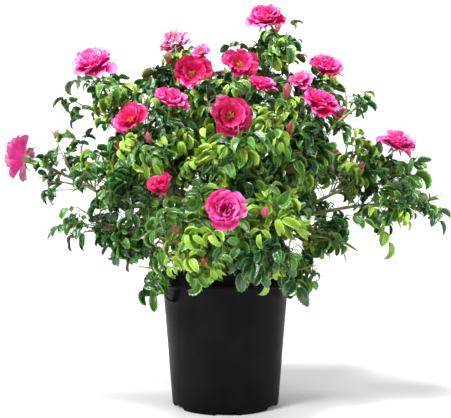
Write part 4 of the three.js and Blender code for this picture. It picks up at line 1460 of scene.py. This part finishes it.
def grow_leaf(limb, shoot, place, leaves, stalks, taken):
    """A leaf of the outline, by the rule of the solids."""
    own = chance(limb.seed, shoot.index, place)
    poses, size, drop = leaf_pose(limb, shoot, place, LEAF_SPACING, own)
    for share in LEAF_TRIES:
        for root, heading, normal in poses:
            length = LEAF_LENGTH * size * share
            probes = outline_of(root, heading, normal, length)
            if not is_inside(limb, probes).all() or not is_clear(probes, limb.index, LEAF_ROOM).all():
                continue
            if near_any(probes, taken, LEAF_APART):
                continue
            if is_clear(probes, limb.index, 0, extra=True).all() and not in_window(probes).any():
                draw = chance(limb.seed, LEAFLET_STREAM + shoot.index, place)
                pairs = 2 if draw() < 0.6 else 3
                rib, bones = leaf_bones(root, heading, normal, length, pairs, 0.1 + 0.3 * drop)
                add_leaf(leaves, stalks, bones, rib, normal, draw, age_of(limb, shoot, place))
            return probes
    return None


def fill_leaf(limb, shoot, place, leaves, stalks, taken, anchors):
    """A smaller leaf that fills the inside of a mass."""
    draw = chance(limb.seed, FILL_STREAM + shoot.index, place)
    poses, size, drop = leaf_pose(limb, shoot, place, FILL_SPACING, draw)
    on_stalk = shoot.index >= STALK_BAND
    on_spray = shoot.index >= SPRAY_BAND
    pairs = 1 if on_spray else 1 + (draw() < 0.6) + (draw() < 0.1)
    for share in SPRAY_TRIES if on_spray else FILL_TRIES:
        for root, heading, normal in poses:
            normal = (normal + UP * 0.7 * draw()).normalized()
            normal = (normal - heading * normal.dot(heading)).normalized()
            length = FILL_LENGTH * size * share
            rib, bones = leaf_bones(root, heading, normal, length, pairs, 0.1 + 0.4 * drop)
            middles = np.array([foot + way * long * 0.5 for foot, way, long in bones])
            tips = np.array([foot + way * long for foot, way, long in bones])
            swell = 1.12 if on_stalk else 1
            if not on_spray and not is_inside(limb, tips, swell=swell, overlap=10).all():
                continue
            if not on_stalk and is_far(limb, tips, anchors).any():
                continue
            if in_window(tips).any() or in_window(middles).any():
                continue
            if not is_clear(np.concatenate((middles, tips)), limb.index, 2, extra=True).all():
                continue
            if near_any(middles, taken, FILL_APART):
                continue
            add_leaf(leaves, stalks, bones, rib, normal, draw, age_of(limb, shoot, place))
            return middles
    return None


leaf_stalks = Heap()
outline_count = 0
fill_count = 0
for group, names in GROUPS.items():
    leaves = Heap()
    for name in names:
        limb = limbs[name]
        main_shoots = [shoot for shoot in limb.shoots if shoot.index < SIDE_BAND]
        spots = [part / 10 for part in range(3, 10)]
        taken = [np.array([shoot.curve.at(u) for u in spots]) for shoot in main_shoots[1:]]
        taken = np.concatenate(taken) if taken else np.zeros((0, 3))
        rounds = int(max(shoot.length for shoot in main_shoots) // LEAF_SPACING)
        for place in range(rounds + 1):
            for shoot in main_shoots:
                if place * LEAF_SPACING > shoot.length:
                    continue
                probes = grow_leaf(limb, shoot, place, leaves, leaf_stalks, taken)
                if probes is not None:
                    taken = np.concatenate((taken, probes))
                    outline_count += 1
        anchors = np.concatenate((taken, [limb.curve.at(u) for u in (0.9, 0.95, 1)]))
        for number, flower in enumerate(blooms + buds):
            length = flower["stalk"].length()
            if flower["mass"] == name and length > LEAFY_STALK:
                limb.shoots.append(Shoot(flower["stalk"], length, 0.2, STALK_BAND + number))
        for number, curve in enumerate(limb.sprays):
            length = min(SPRAY_LONGEST, 0.5 * curve.length())
            limb.shoots.append(Shoot(curve, length, 0.6, SPRAY_BAND + number))
        rounds = int(max(shoot.length for shoot in limb.shoots) // FILL_SPACING)
        for place in range(rounds + 1):
            for shoot in limb.shoots:
                if place * FILL_SPACING > shoot.length:
                    continue
                if place == 0 and STALK_BAND <= shoot.index < SPRAY_BAND:
                    continue
                middles = fill_leaf(limb, shoot, place, leaves, leaf_stalks, taken, anchors)
                if middles is not None:
                    shoot.is_leafy = True
                    taken = np.concatenate((taken, middles))
                    fill_count += 1
    nodes = [f"foliage_{name}" for name in names]
    finish_piece(f"leaves_{group}", leaves.mesh(f"leaves_{group}"), LEAF_FINISHES, nodes)
print("leaves of the outline:", outline_count, "and filling leaves:", fill_count)

# %% [markdown]
# ## The twigs' own wood
#
# Only now is it known which shoots carry leaves. A shoot that stayed bare is left out, as a
# rose sheds what stands in the shade. The rest become thin tubes, and so do the stalks of the
# blooms and buds.

# %% Twigs and stalks
twigs = Heap()
for limb in all_limbs:
    for shoot in limb.shoots[1:]:
        index = shoot.index
        if index < SIDE_BAND or index >= SPRAY_BAND:
            points = [shoot.curve.at(i / 5) for i in range(6)]
            twigs.add(*thin_tube(points, [1.75 - 0.12 * i for i in range(6)], 6))
        elif index < STALK_BAND and shoot.is_leafy:
            points = [shoot.curve.at(i / 3) for i in range(4)]
            twigs.add(*thin_tube(points, [1.1, 1.0, 0.9, 0.7], 5))
for flower in blooms + buds:
    thick = STALK_RADIUS if "width" in flower else 0.9
    points = [flower["stalk"].at(i / 10) for i in range(11)]
    twigs.add(*thin_tube(points, [thick * (1.15 - 0.02 * i) for i in range(11)], 6))
finish_piece("twigs", twigs.mesh("twigs"), [twig_bark])

# %% Finishes for the leaves' own stalks
stalk_finishes = [
    grainy("leaf_stalk", (0.07, 0.13, 0.025), (0.12, 0.2, 0.035), 60, 0.5, bump=0.1),
    grainy("leaf_stalk_flushed", (0.15, 0.05, 0.025), (0.17, 0.1, 0.035), 60, 0.5, bump=0.1),
]
finish_piece("leaf_stalks", leaf_stalks.mesh("leaf_stalks"), stalk_finishes)

# %% [markdown]
# ## Petals
#
# A bloom of this rose has a dozen to nearly thirty broad, wavy petals in a bowl. An open one
# shows its stamens, and a full one hides them. Each petal is one small grid of faces.
# It runs up and out from the hip by a lean that grows from its foot to its edge, is cupped
# across, and waves along its rim.

# %% One petal
PETAL_ACROSS = 9
PETAL_ALONG = 8
WIDEST = 0.72  # how far up a petal is widest


def petal_grid():
    """The flat map of a petal and its triangles."""
    across = [i / (PETAL_ACROSS - 1) for i in range(PETAL_ACROSS)]
    flat = [(u, j / (PETAL_ALONG - 1)) for j in range(PETAL_ALONG) for u in across]
    faces = []
    for j in range(PETAL_ALONG - 1):
        for i in range(PETAL_ACROSS - 1):
            a = j * PETAL_ACROSS + i
            b = a + PETAL_ACROSS
            faces += [(a, a + 1, b + 1), (a, b + 1, b)]
    return np.array(flat), np.array(faces)


petal_flat, petal_faces = petal_grid()


def petal_shape(length, width, lean_foot, lean_tip, start, cup, ruffle, phase):
    """A petal that stands on the flower's axis, facing along +X, in millimetres."""
    u = 2 * petal_flat[:, 0] - 1
    v = petal_flat[:, 1]
    fine = np.linspace(0, 1, 41)
    lean = np.radians(lean_foot + (lean_tip - lean_foot) * fine**1.25)
    out = start + length * np.cumsum(np.sin(lean)) / 41
    up = length * np.cumsum(np.cos(lean)) / 41
    notch = 0.05 * np.exp(-((u / 0.3) ** 2)) * v**6
    shoulder = 0.07 * u**2 * v**4
    walk = np.clip(v - notch - shoulder, 0, 1)
    r = np.interp(walk, fine, out)
    z = np.interp(walk, fine, up)
    lean = np.interp(walk, fine, lean)
    below = 0.26 + 0.74 * np.sin(np.pi / 2 * v / WIDEST)
    above = 1 - 0.42 * ((v - WIDEST) / (1 - WIDEST)) ** 2
    swell = np.where(v < WIDEST, below, above)
    half = 0.5 * width * swell
    wave = ruffle * np.sin(2.6 * np.pi * u + phase) * v**2
    wave += 0.6 * ruffle * np.cos(4.3 * u + 2 * phase) * v**3
    bowl = cup * (u**2 - 0.25) * np.sin(np.pi * np.clip(v * 0.8 + 0.1, 0, 1))
    lift = width * (bowl + wave)
    return np.column_stack((r - np.cos(lean) * lift, u * half, z + np.sin(lean) * lift))


print("a petal has", len(petal_faces), "triangles")


# %% Finishes for petals
def petal_finish(name, deep, pale, foot):
    """A petal that is deep in the middle, paler to its rim, and pale at its foot."""
    finish = grainy(name, deep, deep, 90, 0.5, bump=0.08, specular=0.3)
    nodes = finish.node_tree.nodes
    flat = add_node(finish, "UVMap", uv_map="flat_map").outputs["UV"]
    up = add_node(finish, "SeparateXYZ", {"Vector": flat}).outputs["Y"]
    shifted = {0: nodes["Noise Texture"].outputs["Fac"], 1: 0.3, 2: up}
    shift = add_node(finish, "Math", shifted, operation="MULTIPLY_ADD").outputs["Value"]
    stops = nodes["Color Ramp"].color_ramp.elements
    stops[0].position = 0.14
    stops[0].color = (*foot, 1)
    stops[1].position = 1.16
    stops[1].color = (*pale, 1)
    for position in (0.34, 0.82):
        stops.new(position).color = (*deep, 1)
    feed(finish, nodes["Color Ramp"], {"Fac": shift})
    return finish


DEEP_PINK = (0.57, 0.0035, 0.09)
ROSE_PINK = (0.74, 0.012, 0.165)
SOFT_PINK = (0.8, 0.03, 0.3)
DEEP, ROSE, SOFT, BLUSH = range(4)
PETAL_FINISHES = [
    petal_finish("petal_deep", DEEP_PINK, (0.66, 0.026, 0.155), (0.8, 0.25, 0.14)),
    petal_finish("petal_rose", ROSE_PINK, (0.8, 0.08, 0.37), (0.8, 0.25, 0.2)),
    petal_finish("petal_soft", SOFT_PINK, (0.86, 0.17, 0.48), (0.85, 0.3, 0.3)),
    petal_finish("petal_blush", (0.76, 0.13, 0.36), (0.84, 0.4, 0.6), (0.85, 0.4, 0.4)),
]
print("petal finishes:", [finish.name for finish in PETAL_FINISHES])

# %% [markdown]
# ## Whole blooms
#
# A bloom is a spiral of petals on a green hip, with five sepals under them and, where it is
# open, a ring of yellow stamens. Each petal sits a golden angle on from the one before it, and
# stands shorter and steeper. The forms differ only in how far that goes, so they stay a table.

# %% The petals of each form
# finish, count, then from outer to inner petals: length, width, lean at the foot, lean at the rim
SPIRALS = {
    "open": (DEEP, 13, (0.56, 0.42), (0.6, 0.4), (52, 22), (92, 48)),
    "bowl": (ROSE, 25, (0.56, 0.45), (0.56, 0.34), (50, 5), (96, 20)),
    "double": (ROSE, 27, (0.54, 0.45), (0.56, 0.34), (72, 5), (116, 20)),
    "full": (ROSE, 28, (0.54, 0.36), (0.58, 0.36), (54, 6), (98, 26)),
    "pale": (SOFT, 28, (0.54, 0.47), (0.5, 0.32), (78, 5), (124, 22)),
    "blush": (BLUSH, 28, (0.54, 0.47), (0.58, 0.38), (70, 5), (112, 22)),
    "loose": (SOFT, 16, (0.58, 0.5), (0.4, 0.3), (74, 14), (124, 34)),
    "half": (DEEP, 11, (0.62, 0.5), (0.6, 0.34), (20, 5), (40, 12)),
    "faded": (SOFT, 14, (0.6, 0.44), (0.42, 0.32), (56, 12), (110, 34)),
}
GOLDEN_ANGLE = math.radians(137.5)
PETAL_SEED = 9001


def frame_of(facing):
    """A turn that takes +Z to the way a bloom faces, as an array."""
    return np.array(UP.rotation_difference(facing).to_matrix())


def place_on(bloom, points):
    """Points round a bloom's own axis, put in their place on the plant."""
    return points @ frame_of(bloom["facing"]).T + np.array(bloom["middle"])


def turned(points, angle):
    """Points turned about +Z."""
    c, s = math.cos(angle), math.sin(angle)
    x, y, z = points.T
    return np.column_stack((c * x - s * y, s * x + c * y, z))


petals = Heap()
petal_count = 0
for number, bloom in enumerate(blooms):
    draw = chance(PETAL_SEED, number, 0)
    wide = bloom["width"]
    finish, count, *spans = SPIRALS[bloom["form"]]
    for i in range(count):
        inward = (i / (count - 1)) ** 0.8
        long, broad, lean_foot, lean_tip = [a + (b - a) * inward for a, b in spans]
        shape = petal_shape(
            wide * long * (0.86 + 0.22 * draw()),
            wide * broad * (0.9 + 0.24 * draw()),
            lean_foot + 22 * (draw() - 0.5),
            lean_tip + 50 * (draw() - 0.5),
            0.03 * wide,
            0.06 + 0.2 * draw(),
            0.04 + 0.06 * draw(),
            math.tau * draw(),
        )
        shape[:, 2] -= (BLOOM_DEPTH - 0.08) * wide
        shade = finish if draw() < 0.8 else min(BLUSH, finish + 1)
        angle = GOLDEN_ANGLE * i + 0.5 * (draw() - 0.5)
        petals.add(place_on(bloom, turned(shape, angle)), petal_faces, petal_flat, shade)
        petal_count += 1
print("petals:", petal_count)
finish_piece("petals", petals.mesh("petals"), PETAL_FINISHES)

# %% [markdown]
# ## Stamens
#
# In an open bloom some forty threads stand round the middle, each with a grain of pollen cases
# at its tip. A thread is a three-sided tube and a case a small bead of twenty faces. From arm's
# length they read as a golden tuft.

# %% The stamens
THREADS = 44
STAMEN_SEED = 7001
bead = bmesh.new()
bmesh.ops.create_icosphere(bead, subdivisions=1, radius=1)
bead_shape, bead_faces = as_arrays(bead)
stamens = Heap()
for number, bloom in enumerate(blooms):
    if bloom["form"] not in ("open", "faded", "loose"):
        continue
    wide = bloom["width"]
    for i in range(THREADS):
        draw = chance(STAMEN_SEED, number, i)
        angle, far, high = math.tau * draw(), draw(), draw()
        foot = Vector((0.02 * wide, 0, -0.2 * wide))
        tip = Vector(((0.03 + 0.11 * far) * wide, 0, (-0.06 - 0.05 * far + 0.03 * high) * wide))
        bend = Vector((tip.x * 0.6, 0, 0.5 * (foot.z + tip.z)))
        vertices, faces = thin_tube([foot, bend, tip], [0.32, 0.26, 0.22], 3)
        stamens.add(place_on(bloom, turned(vertices, angle)), faces, finish=0)
        case = bead_shape * np.array((0.9, 0.75, 1.2)) + np.array(tip)
        stamens.add(place_on(bloom, turned(case, angle)), bead_faces, finish=1)
stamen_finishes = [
    grainy("stamen_thread", (0.75, 0.5, 0.1), (0.85, 0.68, 0.2), 300, 0.5, bump=0.05),
    grainy("pollen_case", (0.6, 0.25, 0.02), (0.9, 0.5, 0.05), 500, 0.7, bump=0.2),
]
finish_piece("stamens", stamens.mesh("stamens"), stamen_finishes)

# %% [markdown]
# ## Buds
#
# A bud is a pointed egg of furled petals. A profile spun round and then twisted shows the furl as
# shallow ridges that wind up to the tip. Two in three are still dark red, and the others are
# already as pink as a bloom.

# %% The buds
BUD_PROFILE = [(0, 0), (0.2, 0.06), (0.27, 0.2), (0.3, 0.36), (0.27, 0.56), (0.19, 0.78)]
BUD_PROFILE += [(0.08, 0.95), (0, 1)]
FURLS = 5
FURL_TWIST = 2.4
bud_bm = spun(BUD_PROFILE, 20, merge=1e-4)
bmesh.ops.triangulate(bud_bm, faces=bud_bm.faces)
for vertex in bud_bm.verts:
    angle = math.atan2(vertex.co.y, vertex.co.x)
    furl = (FURLS * angle / math.tau + FURL_TWIST * vertex.co.z) % 1.0
    swell = 1 + 0.13 * (furl - 0.5) * (vertex.co.z > 0.1)
    vertex.co.x *= swell
    vertex.co.y *= swell
bud_shape, bud_faces = as_arrays(bud_bm)

bud_heap = Heap()
for number, bud in enumerate(buds):
    turn = frame_of(bud["facing"])
    placed = bud_shape * bud["long"] @ turn.T + np.array(bud["foot"])
    bud_heap.add(placed, bud_faces, finish=number % 3 // 2)
bud_finishes = [
    grainy("bud_red", (0.18, 0.004, 0.02), (0.42, 0.01, 0.06), 120, 0.45, bump=0.1),
    grainy("bud_pink", (0.62, 0.02, 0.13), (0.75, 0.05, 0.22), 120, 0.45, bump=0.1),
]
finish_piece("buds", bud_heap.mesh("buds"), bud_finishes)

# %% [markdown]
# ## Hips and sepals
#
# Under each bloom sits the green hip, and from its rim spring five narrow sepals with a long
# point. They lie back under an open bloom and hug a bud. The hip is the stamens' bead again,
# taller than wide, and a sepal is a strip three vertices wide.

# %% The hips and sepals
SEPAL_ROWS = 5
sepal_flat = np.array([(x, y / (SEPAL_ROWS - 1)) for y in range(SEPAL_ROWS) for x in (0, 0.5, 1)])
sepal_faces = []
for j in range(SEPAL_ROWS - 1):
    for i in range(2):
        a = 3 * j + i
        sepal_faces += [(a, a + 1, a + 4), (a, a + 4, a + 3)]
sepal_faces = np.array(sepal_faces)


def sepal_shape(long, lean_foot, lean_tip, start):
    """A sepal along +X, from the rim of the hip."""
    u = 2 * sepal_flat[:, 0] - 1
    v = sepal_flat[:, 1]
    fine = np.linspace(0, 1, 21)
    lean = np.radians(lean_foot + (lean_tip - lean_foot) * fine)
    r = np.interp(v, fine, start + long * np.cumsum(np.sin(lean)) / 21)
    z = np.interp(v, fine, long * np.cumsum(np.cos(lean)) / 21)
    half = 0.5 * long * 0.3 * (1 - v) ** 0.7 * (0.7 + 0.9 * v)
    return np.column_stack((r - 0.25 * half * np.abs(u), u * half, z + 0.25 * half * np.abs(u)))


calyces = Heap()
for flower in blooms + buds:
    is_bloom = "width" in flower
    turn = frame_of(flower["facing"])
    size = flower["width"] * 0.075 if is_bloom else flower["long"] * 0.17
    foot = flower["stalk"].at(1)
    hip = bead_shape * np.array((size, size, 1.25 * size)) @ turn.T + np.array(foot)
    calyces.add(hip, bead_faces)
    for i in range(5):
        if is_bloom:
            *_, (lean_foot, _), (lean_tip, _) = SPIRALS[flower["form"]]
            shape = sepal_shape(0.34 * flower["width"], lean_foot + 24, lean_tip + 24, 0.8 * size)
        else:
            shape = sepal_shape(flower["long"] * 0.95, 44, -20 + 30 * (i % 2), 0.9 * size)
        shape[:, 2] += 0.9 * size
        placed = turned(shape, math.tau * i / 5 + 0.3) @ turn.T + np.array(foot)
        calyces.add(placed, sepal_faces, sepal_flat)
calyx_finish = grainy("calyx_green", (0.09, 0.19, 0.03), (0.2, 0.33, 0.05), 90, 0.5, bump=0.15)
finish_piece("hips_and_sepals", calyces.mesh("hips_and_sepals"), [calyx_finish])

# %% [markdown]
# ## Measuring up
#
# The dressed plant has to fill the same box as its solids. Both boxes are measured and printed.

# %% The two boxes
low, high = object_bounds()
sizes = {"cad": [list(cad_low), list(cad_high)], "visual": [list(low), list(high)]}
print("solids:", [round(x, 3) for x in (*cad_low, *cad_high)])
print("dressed:", [round(x, 3) for x in (*low, *high)])
